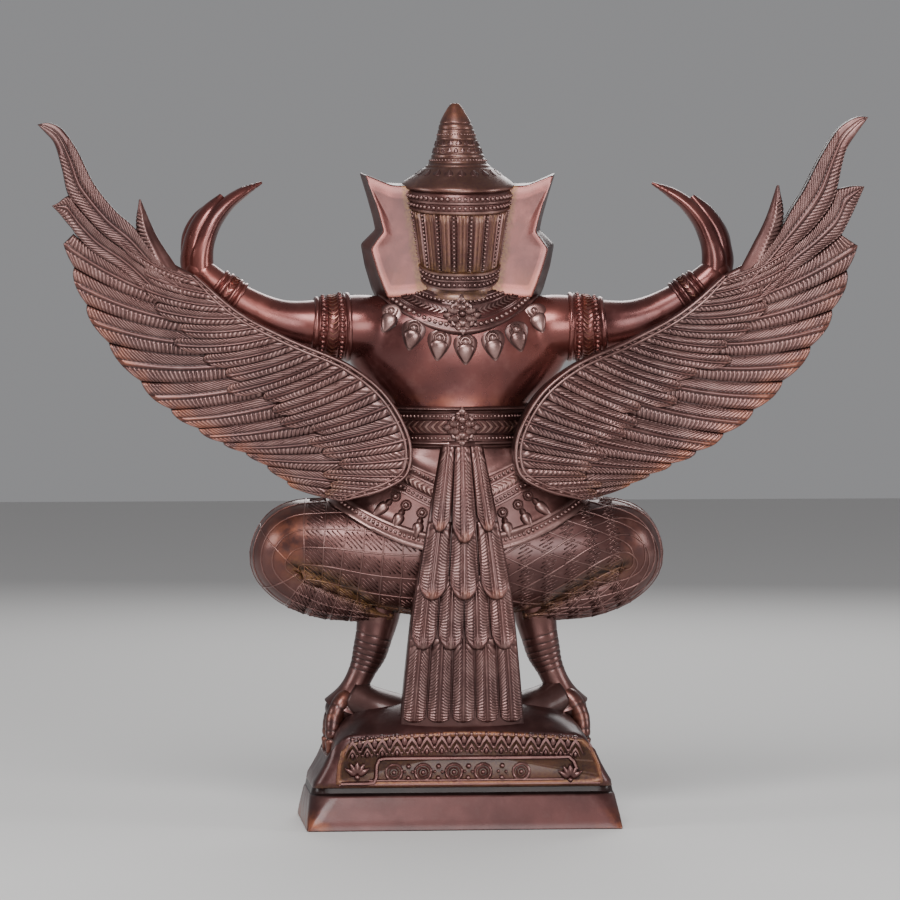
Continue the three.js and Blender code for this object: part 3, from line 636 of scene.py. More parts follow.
arm = {
    "path": [[40, 2, 300], [88, 4, 300.5], [108, 5, 304], [130, 6, 314], [149, 6, 328], [160, 6, 338]],
    "knots": [0, 0.1, 0.25, 0.4, 0.55, 0.7, 0.85, 1],
    "inPlane": [17, 19, 18.5, 15, 12, 10.5, 9, 7.5],
    "deep": [16, 20, 19, 14, 12, 10, 9, 8],
}
neck = {"path": [[0, 0, 304], [0, -1, 322], [0, -3, 336]], "inPlane": [23, 18, 19], "deep": [21, 17, 18]}


# The smooth body: trunk, arms, neck, chest and belly, with a navel and an orange line above the belt that is
# partly wear and partly a painted highlight on the ledge
def bodySkin():
    levels = np.linspace(150, 318.5, 60)
    trunk = tube(torsoSurface(fullTurn(72)[None, :], levels[:, None], 0.0))
    arms = [limbShell(arm, 50, 36, side, 0.3, 0.97) for side in (1, -1)]
    (middle, radii), navel = torso["chest"], torso["navel"]
    chest = [eggShell(np.array(middle) * [side, 1, 1], radii) for side in (1, -1)]

    def relieve(p, normals):
        paint = np.zeros((len(p), 3))
        # Orange band on the back above the belt: partly rubbed wear, partly a painted highlight on the ledge
        # there
        paint[:, 1] = 0.25 * hump(p[:, 2], 255, 4) * (normals[:, 1] > 0)
        pressed = (np.hypot(p[:, 0], p[:, 2] - navel["level"]) < navel["radius"]) & (normals[:, 1] < 0)
        return np.where(pressed, -navel["depth"], 0.0), paint

    shells = [trunk, limbShell(neck, 16, 40), *arms, *chest, eggShell(*torso["belly"])]
    return fusedPiece("body_skin", shells, skinBrass, torso["voxel"], torso["smoothing"], relieve)


body = bodySkin()


# Wings: the rim, bends and tips are guide curves across X and Z that carry the feathers. The first two
# plumes lie between their own edges, and all outlines differ a little from left (1) to right (-1).
wing = {
    "feathers": 13,
    "rim": [
        [160, 332], [132, 309], [104, 294], [66, 277], [44, 258], [31, 231], [33, 212], [48, 202],
        [72, 196],
    ],
    "bends": [[210, 342], [184, 311], [160, 281], [128, 257], [94, 236], [74, 216], [86, 198]],
    "tips": {
        1: [[253, 421], [238, 350], [222, 304], [185.5, 258], [153, 234.5], [126, 221.5], [102, 204]],
        -1: [[247, 427], [241, 349], [223, 300], [190, 258], [154, 229], [124, 214], [99.5, 203.5]],
    },
    "covertTips": [[226, 386], [230, 346]],      # in place of the first two
    "firstValley": {1: [232, 356], -1: [231, 356]},      # between the second plume and the third feather
    "plumes": {              # upper and lower edge of the first two, from the rim to their tips
        1: [
            ([[160, 322], [174, 334], [184, 343], [196, 360], [207, 370], [219.6, 386], [230.5, 407.5],
              [240, 419.5], [247.2, 422], [253.2, 421]],
             [[163, 314], [179, 326], [197, 342.5], [215, 356], [230, 372.5], [235, 379], [239, 395.5],
              [243.6, 410.4], [248.4, 416], [253.2, 421]]),
            ([[163, 314], [179, 326], [197, 342.5], [215, 356], [230, 372.5], [234.6, 378.6], [238, 377],
              [241.2, 374.4], [244.8, 372.6]],
             [[166, 303], [185, 317.5], [203, 334], [221, 345.6], [231, 356], [233, 359], [236.4, 363],
              [240, 367.5], [244.8, 372.6]]),
        ],
        -1: [
            ([[162, 322], [176.5, 336.6], [192, 356], [200.2, 371], [208, 383.4], [218, 403], [228.6, 419.4],
              [235, 424.4], [241.2, 427], [247, 426.6]],
             [[166, 313], [181, 326.4], [199, 346.5], [212.4, 358], [225, 374.4], [228, 383], [231.3, 398.7],
              [234, 407.7], [239, 415.5], [247, 426.6]]),
            ([[166, 313], [181, 326.4], [199, 346.5], [212.4, 358], [225, 374.4], [228, 383], [232, 384.2],
              [237.6, 385.2], [244.8, 384.8]],
             [[169, 303], [186, 318.6], [205, 335.7], [219.6, 346.5], [230.8, 355.5], [234, 361], [238, 369],
              [242, 378], [244.8, 384.8]]),
        ],
    },
    "plumeLift": [1.9, 1.0],
    "notch": 3.5,               # how far a feather's edges stop short of its tip
    "crowding": 1.35,           # over 1 sets the feathers closer along the rim near the hand
    "coverts": 0.54,            # their reach, as a share of the way to the tips
    "scallop": 0.06,            # how much less far their edges reach
    "covertCount": 20,
    "covertSpread": 0.8,        # under 1 widens those next to the hand
    "stagger": 0.06,            # how much the coverts differ in length
    "rootDepth": 34.5,
    "outerDepth": 20.5,
    "thickness": 9,
    "tipThickness": 5,
    "rootThickness": 13,
    "layer": 2.3,               # how far the coverts lie over the long feathers
    "longStart": 0.34,          # where the long feathers start, hidden under the coverts
    "coreInset": 0.8,
    "smoothTip": 0.2,           # the share of the first plume's tip that has no barbs
    "covertWear": 0.2,
    "rootSink": 3.0,            # how far the roots sink under the rim
    "barbPitch": 2.7,
    "covertPitch": 2.9,
    "barbDepth": 0.47,
    "barbSlant": 10.5,
    "plumeSlant": 14,
    "frontPitch": 5.5,
    "shaft": 1.1,
    "rimWidth": 5.4,
    "rimHeight": 4.4,
}


# The wing's back face and its thickness: deeper and thicker near the body, thinner to the tips
def wingBack(x):
    return mixed(wing["rootDepth"], wing["outerDepth"], eased(x, 30, 140))


def wingThickness(x, r):
    thin = mixed(wing["thickness"], wing["tipThickness"], eased(r, 0.6, 1))
    return thin + wing["rootThickness"] * (1 - eased(x, 30, 85))


# Rim, bend and tip of the wing, s feathers along from the hand
def wingGuides(s, tips):
    share = np.clip(s / (wing["feathers"] + 0.5), 0, 1) ** wing["crowding"]
    place = np.clip((s - 1) / (wing["feathers"] - 1), 0, 1)
    return evenlyAlong(wing["rim"], share), curveThrough(wing["bends"], place), curveThrough(tips, place)


# A bend from root to end, drawn towards a point between them
def bezier(root, bend, end, r):
    u = 1 - r
    return root * u**2 + bend * 2 * u * r + end * r**2


# Where a feather's point lies, number n, q of its width from its shaft and r of the way from rim to tip.
# Its edges stop short of its tip by the notch, and the third one's upper edge ends in the valley.
def primaryPoint(side):
    def point(n, q, r):
        if n <= 2:
            upper, lower = (evenlyAlong(edge, r) for edge in wing["plumes"][side][n - 1])
            return mixed(upper, lower, q[..., None] + 0.5)
        tips = wing["tips"][side]
        root, bend, tip = wingGuides(n + q, tips)
        back = wing["notch"] * np.abs(2 * q) ** 2.4 / np.linalg.norm(tip - bend, axis=-1)
        end = mixed(tip, bend, back[..., None])
        if n == 3:
            high, low = (np.array(p, float) for p in (tips[1], wing["firstValley"][side]))
            valley = mixed(high, low, np.abs(2 * q)[..., None] ** 1.12)
            end = np.where((q < 0)[..., None], valley, end)
        return bezier(root, bend, end, r[..., None])

    return point


def covertGuide(side):
    return wing["covertTips"] + wing["tips"][side][2:]


# The same for the short feathers over them, count of them spread along the rim and ending in scallops
def covertPoint(side, count):
    def point(n, q, r):
        s = 0.5 + wing["feathers"] * np.clip((n + q) / count, 0, 1) ** wing["covertSpread"]
        reach = wing["coverts"] + wing["stagger"] * math.sin(2.3 * n + side)
        reach = reach - wing["scallop"] * np.abs(2 * q) ** 2.2
        return bezier(*wingGuides(s, covertGuide(side)), (r * reach)[..., None])

    return point


# One feather as a closed strip. Its rows slant towards the tip like the barbs they carry, and each barb
# takes four rows; the shaft is a smooth ridge, and the edges fall away into the cut between two feathers.
columns = {
    "q": [-1, -0.975, -0.94, -0.68, -0.42, -0.27, -0.19, -0.11, 0, 0.11, 0.19, 0.27, 0.42, 0.68, 0.94, 0.975,
          1],
    "covertQ": [-1, -0.96, -0.9, -0.62, -0.32, -0.21, -0.13, 0, 0.13, 0.21, 0.32, 0.62, 0.9, 0.96, 1],
    "frontQ": [-1, -0.93, -0.6, -0.2, 0, 0.2, 0.6, 0.93, 1],
    "barb": [0, 0.17, 0.5, 0.83],          # where the rows of one barb lie, the first in the groove
    "wave": [-1.0, 0.75, 1.0, 0.8],
}


# The rows along a feather, and their heights: each barb a flat stroke between narrow grooves
def barbRows(start, number):
    at = (np.arange(number)[:, None] + np.array(columns["barb"])).ravel()
    v = np.append(mixed(start, 1.0, at / number), 1.0)[:, None]
    wave = np.append(np.tile(columns["wave"], number), -1.0)[:, None]
    return v, wave * rng.uniform(0.85, 1.1, (len(v), 1))


# Across a feather, edge is 0 at its shaft and 1 at its edges: a flat-topped ridge along the shaft
def shaftRidge(edge, half=0.14):
    return np.exp(-((edge / half) ** 4))


# The height there: rounded vanes, the shaft with a groove beside it, and a fall at the edges
def featherProfile(edge, shaft):
    vane = 0.35 * halfRound(2 * edge - 0.95)
    fall = -1.1 * eased(edge, 0.955, 1.0)
    return vane + fall + shaft * shaftRidge(edge) - 0.45 * hump(edge, 0.2, 0.04)


# Feather n of a wing, point(n, q, r) giving its places, from the share start of its length to its tip
def featherStrip(point, n, side, start, pitch, back, lift, smoothTip, across="q", worn=1.0):
    q = np.array(columns[across if back else "frontQ"]) / 2
    length = steps(point(n, np.zeros(60), np.linspace(0, 1, 60))).sum()
    v, wave = barbRows(start, max(4, int(round(length * (1 - start) / pitch))))
    edge = np.abs(2 * q)[None, :]
    slant = min(0.2, wing["plumeSlant" if n < 3 else "barbSlant"] / length)
    slant = slant * edge * eased(v, start - 0.01, start + 0.12) * (1 - v**4)
    r = np.clip(v + slant, 0, 1)
    xz = point(n, np.broadcast_to(q[None, :], r.shape), r)
    x, z = xz[..., 0], xz[..., 1]
    shown = eased(edge, 0.19, 0.26) * (1 - eased(edge, 0.94, 0.98)) + 0 * v
    if smoothTip:
        shown = shown * (1 - eased(v, 1 - smoothTip - 0.03, 1 - smoothTip + 0.01))
    shaft = wing["shaft"] * (1 - 0.5 * eased(v, 0.8, 1))
    height = featherProfile(edge, shaft) + wing["barbDepth"] * wave * shown
    height = height - 1.1 * eased(v, 0.97, 1.0) + 0.8 * smoothTip * eased(v, 0.8, 0.95)
    height = height - wing["rootSink"] * (1 - eased(v, 0, 0.05))
    tint = np.clip(0.66 * wave * shown + 0.35 * shaftRidge(edge) - 1.4 * eased(edge, 0.95, 1.0), -1, 1)
    tint = tint - 0.9 * hump(edge, 0.2, 0.04) + 2.6 * smoothTip * eased(v, 0.8, 0.9)
    depth, thick = wingBack(x), wingThickness(x, r)
    top = depth + height + lift if back else depth - thick - 0.7 * (height + lift)
    grid = pointsAt(x * side, top, z)
    under = pointsAt(x * side, depth - 0.5 * thick, z)[:, [-1, 0]]
    rub = 0.7 * worn * eased(r, 0.8, 1.0) * (0.1 + 0.9 * eased(z, 360, 250))
    rub = rub * np.clip(0.6 + 0.4 * tint, 0, 1)
    dust = 0.25 * eased(z, 222, 200) * eased(r, 0.62, 1.0)
    paint = [stripPaint(top, *r.shape, low) for top, low in ((tint, -0.6), (rub, 0.1), (dust, 0.0))]
    return tube(np.concatenate([grid, under], 1), *paint)


# The double cord along the rim: a section with two humps carried along the rim's curve
def rimCord(side, back):
    t = np.linspace(0.0, 1.0, 150)
    line = evenlyAlong(wing["rim"], t)
    run = unit(np.gradient(line, axis=0))
    inward = np.stack([-run[:, 1], run[:, 0]], -1)        # towards the feathers
    half = wing["rimWidth"] / 2 * (0.55 + 0.45 * np.minimum(1, np.minimum(t, 1 - t) / 0.08))
    base = wingBack(line[:, 0]) if back else wingBack(line[:, 0]) - wingThickness(line[:, 0], 0 * t)
    rise = wing["rimHeight"] if back else -0.7 * wing["rimHeight"]
    turn = np.linspace(0, np.pi, 7)
    first, second = ([(m - 0.5 * math.cos(a), 0.25 + 0.75 * math.sin(a)) for a in turn] for m in (-0.5, 0.5))
    rings = []
    for a, h in [(-1.05, -1.2)] + first + second[1:] + [(1.05, -1.2)]:
        centre = line + inward * ((a + 1) * half)[:, None]
        rings.append(pointsAt(centre[:, 0] * side, base + h * rise * 0.8, centre[:, 1]))
    tint = np.array([-0.6, -0.5, 0.2, 0.5, 0.65, 0.5, 0.1, -0.9, 0.1, 0.5, 0.65, 0.5, 0.1, -0.8, -0.6])
    return tube(np.stack(rings, 1), tint[None, :] * (1 if back else 0.6))


# A plain core under the feathers
def wingCore(side):
    s, r = np.meshgrid(np.linspace(0.5, wing["feathers"] + 0.5, 53), np.linspace(0, 0.9, 10), indexing="ij")
    xz = bezier(*wingGuides(s, covertGuide(side)), r[..., None])
    x, z, inset = xz[..., 0], xz[..., 1], wing["coreInset"]
    depths = (wingBack(x) - inset, wingBack(x) - (wingThickness(x, r) - inset))
    back, front = (pointsAt(x * side, y, z) for y in depths)
    return tube(np.concatenate([back, front[:, ::-1]], 1), -0.2)


plume = {
    1: {
        "path": [
            [171, 17.5, 321], [178, 18.5, 332], [184, 18.5, 345], [189.6, 18.5, 359], [192.4, 18, 376.5],
        ],
        "inPlane": [9, 8.5, 6.2, 4.4, 0.6],
        "deep": [3, 3.4, 3, 2.4, 0.8],
    },
    -1: {
        "path": [
            [171, 17.5, 321], [178, 18.5, 333], [184, 18.5, 348], [190.5, 18.5, 366], [192.5, 18, 385.5],
        ],
        "inPlane": [9, 8.5, 6.6, 4.8, 0.8],
        "deep": [3, 3.4, 3, 2.6, 0.9],
    },
}


# The upright plume beside the hand: smooth like a horn on its inner side, with barbs on the outer one
def uprightPlume(side):
    t, wave = barbRows(0, 26)
    angle = fullTurn(30)[None, :]
    outerSide = eased(-np.cos(angle), -0.05, 0.25) * eased(-np.sin(angle), -0.3, 0.1)
    outerSide = outerSide * (1 - eased(t, 0.8, 0.9))
    ridge = 0.9 * hump(np.cos(angle), 0.02, 0.16) * (np.sin(angle) < 0)
    lean = 0.05 * np.abs(np.cos(angle)) * eased(t, 0, 0.2) * (1 - eased(t, 0.75, 1))
    slanted = np.clip(t + lean, 0, 1)
    grid = limbSurface(plume[side], side)(angle, slanted, 0.38 * wave * outerSide + ridge)
    tint = 0.8 * wave * outerSide + 0.7 * ridge - 0.2 * eased(np.cos(angle), 0.1, 0.5)
    return tube(grid, np.clip(tint, -1, 1))


# A wing: core, rims and upright plume, then the long feathers and the coverts behind and in front
def wingPiece(name, side):
    count, covers, layer, wear = (wing[key] for key in ("feathers", "covertCount", "layer", "covertWear"))
    long, short, inFront = primaryPoint(side), covertPoint(side, covers), covertPoint(side, count)
    shells = [wingCore(side), rimCord(side, True), rimCord(side, False), uprightPlume(side)]
    for n in range(1, count + 1):
        horn, worn = (wing["smoothTip"], 0.0) if n == 1 else (0.0, 1.0)
        start, lift = (0.0, wing["plumeLift"][n - 1]) if n <= 2 else (wing["longStart"], 0.0)
        shells.append(featherStrip(long, n, side, start, wing["barbPitch"], True, lift, horn, worn=worn))
        shells.append(featherStrip(long, n, side, start, wing["frontPitch"], False, lift, horn))
    for points, number, pitch, back in ((short, covers, wing["covertPitch"], True),
                                        (inFront, count, wing["frontPitch"], False)):
        for n in range(number):
            shells.append(featherStrip(points, n + 0.5, side, 0.0, pitch, back, layer, 0.0, "covertQ", wear))
    return makePiece(name, shells, carvedBrass)


wingPiece("wing_left", 1)
wingPiece("wing_right", -1)


# Tail: a train of feathers from the belt to the plinth, in rows that overlap like tiles
tail = {
    "levels": [232, 190, 140, 96, 50],
    "halfWidths": [12, 20, 29, 34, 38],
    "backs": [30, 39, 41.5, 39, 34.5],
    "thickness": 15,
    "rows": [
        # levels of tip and root, how many, how far it stands out, how far its edges draw up, and how far the
        # middle one lies over the others
        {"tip": 63, "root": 114, "count": 5, "rise": 1.0, "blunt": 3},
        {"tip": 107, "root": 152, "count": 4, "rise": 2.0, "blunt": 9},
        {"tip": 137, "root": 184, "count": 3, "rise": 3.0, "blunt": 10},
        {"tip": 175, "root": 229, "count": 3, "rise": 3.9, "blunt": 11, "over": 1.6},
    ],
    "pitch": 2.1,
    "slant": 8.5,
    "shaft": 1.1,
}


# The train's back at each level, its middle standing out before its edges
def tailSurface(share, level, lift):
    knots = -np.array(tail["levels"], float)
    wide, back = (smoothTable(knots, tail[key], -level) for key in ("halfWidths", "backs"))
    return pointsAt(share * wide, back - 3 * share**2 + lift, level)


# A tail feather: rows slant down from the shaft, and the blunt tip is drawn up at its edges
def tailFeather(row, i):
    q = np.array(columns["q"])
    over = row.get("over", 0) * (1 if i == 1 else -0.7)
    centre, half = -1 + (2 * i + 1) / row["count"], (0.985 + 0.06 * over) / row["count"]
    v, wave = barbRows(0, int((row["root"] - row["tip"]) / tail["pitch"]))
    edge = np.abs(q)[None, :]
    low = row["tip"] - 2.4 * over + row["blunt"] * edge**2.6
    level = mixed(row["root"], low, v) - tail["slant"] * edge * eased(v, 0, 0.1) * (1 - v**3)
    level = np.maximum(level, low)
    narrow = 1 - 0.05 * eased(v, 0.7, 1)
    smoothTip = row["blunt"] > 5
    shown = eased(edge, 0.18, 0.24) * (1 - eased(edge, 0.9, 0.97))
    shown = shown * (1 - (0.9 if smoothTip else 0) * eased(v, 0.82, 0.90))
    shaft = tail["shaft"] * (1 - 0.6 * eased(v, 0.85, 1))
    swell = 1.3 * halfRound(edge) * hump(v, 0.93, 0.09) if smoothTip else 0
    height = 1.35 * featherProfile(edge, shaft) + 0.32 * wave * shown + swell - 1.5 * eased(v, 0.975, 1.0)
    lift = (row["rise"] + 0.6 * over) * (0.25 + 0.75 * v) + height
    top = tailSurface(centre + q[None, :] * half * narrow, level, lift)
    under = tailSurface(centre + q[None, [-1, 0]] * half * narrow, level[:, [-1, 0]], -4.0)
    tint = 0.62 * wave * shown + 0.5 * shaftRidge(edge, 0.11) - 1.3 * eased(edge, 0.93, 1.0)
    tint = np.clip(tint + 0.5 * hump(v, 0.94, 0.05) * (1 - edge) * smoothTip, -1, 1)
    rub = 0.35 * hump(v, 0.93, 0.06) * hump(edge, 0, 0.4) * (row["count"] == 3)
    paint = [stripPaint(value, len(v), len(q), below) for value, below in ((tint, -0.7), (rub, 0))]
    return tube(np.concatenate([top, under], 1), *paint)


# The train: a plain body and its rows of feathers
def tailPiece():
    share, levels = np.linspace(-1, 1, 15)[None, :], np.linspace(232, 57, 40)[:, None]
    back, front = (tailSurface(share, levels, lift) for lift in (-0.3, -tail["thickness"]))
    shells = [tube(np.concatenate([back, front[:, ::-1]], 1), -0.3)]
    shells += [tailFeather(row, i) for row in tail["rows"] for i in range(row["count"])]
    return makePiece("tail_train", shells, carvedBrass)


tailPiece()


# Spots whose tops point in given directions
def spotsToward(surface, u, v, towards):
    origin, _, _, out = spotsOn(surface, u, v)
    towards = np.broadcast_to(np.asarray(towards, float), origin.shape)
    up = unit(towards - out * np.sum(towards * out, -1, keepdims=True))
    return origin, np.cross(up, out), up, out


# Places a and b millimetres away from u, v along the surface
def shifted(surface, u, v, a, b):
    e = 1e-3
    alongU = np.linalg.norm(surface(u + e, v, 0.0) - surface(u - e, v, 0.0), axis=-1) / (2 * e)
    alongV = np.linalg.norm(surface(u, v + e, 0.0) - surface(u, v - e, 0.0), axis=-1) / (2 * e)
    return u + a / np.maximum(alongU, 1), v + b / np.maximum(alongV, 1)


# A surface raised by so much
def liftedBy(surface, by):
    return lambda u, v, lift: surface(u, v, lift + by)


# The fused skin as a surface over X and Z, behind (1) or in front (-1): near points weighted by distance
def skinFace(piece, side):
    points, normals = readMesh(piece.data)
    near = drawnFrom(points[normals[:, 1] * side > 0.25])

    def surface(x, z, lift):
        x, z, lift = alike(x, z, lift)
        apart = (x.ravel()[:, None] - near[:, 0]) ** 2 + (z.ravel()[:, None] - near[:, 2]) ** 2
        weight = np.exp(-apart / 3) + 1e-9 / (1 + apart**3)
        y = (weight @ near[:, 1] / weight.sum(1)).reshape(x.shape)
        return np.stack([x, y + side * lift, z], -1)

    return surface


# A raised plate: rings from its outline, radius(angle), up to a level middle
def plateOn(surface, x, z, radius, height):
    turn = fullTurn(72)
    share, lifts = np.array([(1, -0.9), (1, 0.55), (0.95, 0.9), (0.86, 1.0), (0.76, 0.75), (0.4, 0.75)]).T
    reach = radius(turn) * share[:, None]
    grid = surface(x + np.cos(turn) * reach, z + np.sin(turn) * reach, (lifts * height)[:, None])
    ends = surface(np.array([x, x]), np.array([z, z]), np.array([-0.9, 0.75]) * height)
    return tube(grid, np.array([-0.9, 0.0, 0.6, 0.9, 0.2, 0.0])[:, None], poles=ends)


# A jewel: a scalloped diamond plate with a boss in a ring, two rings of petals, and a petal and a bead in
# each corner. Rows: shape, how many, how far out, half width, half length, height and turn, in sizes.
jewel = [
    (petal, 6, 0.42, 0.42, 0.22, 0.17, np.pi / 6), (petal, 8, 0.70, 0.34, 0.19, 0.14, np.pi / 8),
    (petal, 4, 0.82, 0.34, 0.2, 0.13, 0.0), (bead, 4, 0.98, 0.08, 0.08, 0.12, 0.0),
]


def rosette(surface, x, z, size, stretch=1.1):
    def radius(turn):
        diamond = 1 / (np.abs(np.cos(turn)) + np.abs(np.sin(turn)) / stretch + 0.08) ** 0.72
        return size * 0.95 * diamond * (1 + 0.05 * np.cos(16 * turn))

    shells = [plateOn(surface, x, z, radius, 1.6)]
    for motif, count, reach, wide, tall, high, start in jewel:
        turn = fullTurn(count) + start
        r = reach * size * (radius(turn) / size if reach > 0.6 else 1)      # outer rows follow the diamond
        places = x + np.cos(turn) * r, z + np.sin(turn) * r
        spots = spotsToward(liftedBy(surface, 1.0), *places, pointsAt(np.cos(turn), 0, np.sin(turn)))
        tint = np.clip(1.1 * motif["paint"][:, 0] + 0.7, -0.4, 0.95)
        shells.append(stamped(motif, spots, wide * size, tall * size, high * size, relief=tint))
    middle = spotsToward(liftedBy(surface, 1.5), np.array([x]), np.array([z]), [[0, 0, 1.0]])
    shells.append(stamped(ring, middle, 0.24 * size, 0.24 * size, 0.1 * size, relief=0.8))
    shells.append(stamped(dome, middle, 0.17 * size, 0.17 * size, 0.22 * size))
    return shells


# Belt: section as levels and lifts, going up the outside
belt = {
    "section": [
        (227.4, -2), (227.4, 1.6), (228.0, 3.2), (228.8, 3.8), (229.5, 2.7), (230.2, 3.8), (231.0, 3.6),
        (231.5, 2.4), (235.4, 2.4), (235.9, 3.3), (236.4, 2.5), (244.0, 2.5), (244.5, 3.3), (245.0, 2.4),
        (248.2, 2.4), (248.7, 3.4), (249.4, 3.9), (250.1, 2.7), (250.8, 3.9), (251.6, 3.5), (252.4, 1.4),
        (252.4, -2),
    ],
    "beads": [233.4, 246.6],
    "beadRadius": 1.1,
    "chevrons": (240.2, 3.6, 4.0),      # level, half width and pitch
    "rosette": 11.8,
}


# The band with two rows of beads, chevrons between them, and a jewel behind and in front
def beltPiece():
    angles = evenAngles(torsoSurface, 240, 160)
    raised = liftedBy(torsoSurface, 2.4)
    shells = [bandOn(torsoSurface, angles, belt["section"])]
    shells += [beadRow(raised, level, belt["beadRadius"]) for level in belt["beads"]]
    shells.append(chevronRow(raised, *belt["chevrons"], 0.15))
    for side in (1, -1):
        shells += rosette(liftedBy(torsoFace(side), 3.0), 0.0, 240, belt["rosette"])
    return makePiece("belt", shells, carvedBrass, sharp=50)


# The torso's smooth form seen from behind (1) or in front (-1), over X and Z
def torsoFace(side):
    def surface(x, z, lift):
        wide = smoothTable(torso["levels"], torso["wide"], z)
        deep = smoothTable(torso["levels"], torso["back" if side > 0 else "front"], z)
        y = side * (deep * np.sqrt(np.maximum(0.02, 1 - (x / wide) ** 2)) + lift)
        return pointsAt(x, y, z)

    return surface


# Collar: rings from the lower edge, v = 0, up to the neck, v = 1
collar = {
    "inner": (21, 19, 324),
    "outer": (48, 31),
    "sideLevel": 319,
    "backDrop": 22,
    "frontDrop": 25,
    "section": [
        (-0.02, -3), (-0.02, 0.6), (0.0, 1.2), (0.03, 1.2), (0.05, 0.4), (0.22, 0.5), (0.245, 1.1),
        (0.27, 0.6), (0.29, 1.0), (0.31, 0.5), (0.54, 0.5), (0.565, 1.1), (0.59, 0.4), (0.73, 0.4),
        (0.755, 1.0), (0.785, 0.4), (0.83, 0.9), (0.87, 0.3), (0.91, 0.8), (0.95, 0.3), (1.0, 0.3),
        (1.0, -3),
    ],
    "beads": [(0.135, 1.7), (0.66, 1.3)],       # v and radius
    "chevrons": (0.425, 2.5, 3.0),      # v, half width and pitch
    "rosette": 11.7,
    "rosetteLevels": {1: 306.5, -1: 304},
    # level and radius of the flare under the crown
    "neckRing": [
        (328, 17), (326.6, 22), (325.6, 23.6), (323, 23.4), (319.4, 24.4), (317.6, 25.6), (316.2, 25.2),
        (315, 20),
    ],
}


# Ellipses that widen from the neck to the outer edge, which hangs lower behind and in front
def collarSurface(angle, v, lift):
    c, s = np.cos(angle), np.sin(angle)
    front = s < 0
    (innerX, innerY, top), (outerX, outerY) = collar["inner"], collar["outer"]
    drop = np.where(front, collar["frontDrop"], collar["backDrop"])
    low = collar["sideLevel"] - drop * s**2
    x = mixed(outerX, innerX, v) * c + 0.5 * lift * c
    y = mixed(outerY * np.where(front, 1.1, 1), innerY, v) * s + lift * s
    return pointsAt(x, y, mixed(low, top, v) + 0.6 * lift)


# Where the pendants hang, across X and Z
pendants = {
    "back": [(43.3, 305), (29.8, 295), (14, 289), (-2, 286.6), (-19, 289), (-34, 294), (-46, 305)],
    "front": [(-40, 298), (-21, 286), (0, 281), (21, 286), (40, 298)],
    # shape, how far up, half width, half length, height and lift
    "parts": [(teardrop, 0.2, 13.2, 9.4, 1.0, 0.0), (teardrop, -2.2, 9.6, 6.2, 2.2, 0.7),
              (ring, 4.6, 3.8, 3.8, 1.5, 0.5), (dome, 4.6, 2.7, 2.7, 2.6, 0.5)],
}


# Each a teardrop in a larger flat one, with a boss in a ring at its top
def pendantShells(surface, places):
    x, z = np.array(places, float).T
    up = pointsAt(-x / 120, 0, 1)       # they lean in a little towards the neck
    shells = []
    for motif, rise, wide, tall, high, lift in pendants["parts"]:
        spots = spotsToward(liftedBy(surface, lift), x + up[:, 0] * rise, z + rise, up)
        tint = np.clip(1.2 * motif["paint"][:, 0] + 0.25, -0.7, 0.9)
        shells.append(stamped(motif, spots, wide, tall, high, relief=tint))
    return shells


# The collar with its beads, chevrons, jewels and pendants, and the flare above it
def collarPiece(body):
    angles = evenAngles(collarSurface, 0.3, 160)
    shells = [bandOn(collarSurface, angles, collar["section"])]
    raised = liftedBy(collarSurface, 0.45)
    shells += [beadRow(raised, v, radius, 2.05) for v, radius in collar["beads"]]
    shells.append(chevronRow(raised, *collar["chevrons"], inwards=True))
    for side, level in collar["rosetteLevels"].items():
        shells += rosette(liftedBy(collarFace(side), 1.2), 0.0, level, collar["rosette"], 1.12)
    around = fullTurn(72)
    level, radius = np.array(collar["neckRing"], float).T[..., None]
    flare = pointsAt(np.cos(around) * radius, np.sin(around) * radius * 0.98, level)
    # The flare is painted pale and ochre: partly its own ochre-grey, partly a painted highlight where the
    # drum above shades it
    shells.append(tube(flare, 0.6, 0.0, 0.35))
    for side, key in ((1, "back"), (-1, "front")):
        shells += pendantShells(skinFace(body, side), pendants[key])
    return makePiece("necklace", shells, carvedBrass, sharp=50)


# The collar over X and Z near its middle: its level and depth both run straight from edge to edge
def collarFace(side):
    def surface(x, z, lift):
        drop = collar["backDrop"] if side > 0 else collar["frontDrop"]
        low = collar["sideLevel"] - drop
        v = (z - low) / (collar["inner"][2] - low)
        y = mixed(collar["outer"][1] * (1 if side > 0 else 1.1), collar["inner"][1], v)
        y = y * np.sqrt(np.maximum(0.02, 1 - (x / 48) ** 2))
        return pointsAt(x, side * (y + lift * 0.8), z + 0.5 * lift)

    return surface


# Skirt: cloth from the belt, v = 1, to the hem, v = 0
skirt = {
    "top": 234,
    "sideEdge": 195,
    "drop": 31,
    "waist": (38, 24),
    "spread": (78, 35),
    "section": [
        (1.02, -2), (1.02, 0), (0.93, 0), (0.85, 0), (0.767, 0), (0.759, 0.8), (0.745, 0.8), (0.737, 0),
        (0.683, 0), (0.675, 0.8), (0.660, 0.8), (0.652, 0.1), (0.560, 0.1), (0.552, 0.8), (0.540, 0.8),
        (0.532, 0), (0.478, 0), (0.470, 0.9), (0.452, 0.9), (0.443, 0), (0.35, 0), (0.25, 0), (0.16, 0),
        (0.153, 0.9), (0.14, 1.5), (0.125, 1.5), (0.11, 0.6), (0.05, 0.6), (0.04, 1.5), (0.015, 1.8),
        (0.0, 1.2), (-0.005, -0.4), (0.05, -2), (0.4, -2), (0.7, -2),
    ],
    "beads": [(0.710, 1.25), (0.505, 1.25), (0.08, 1.3)],       # v and radius
    "chevrons": (0.606, 2.7, 3.0),      # v, half width and pitch
    "dip": (0.33, 36, 12),      # how steeply the rows fall towards the middle, from there to there
    "rings": [(40, 199), (34, 193.5), (24.5, 189)],      # where the hangings start and end, across X and Z
    "tips": [(53, 187.5), (41, 180), (28, 174)],
}


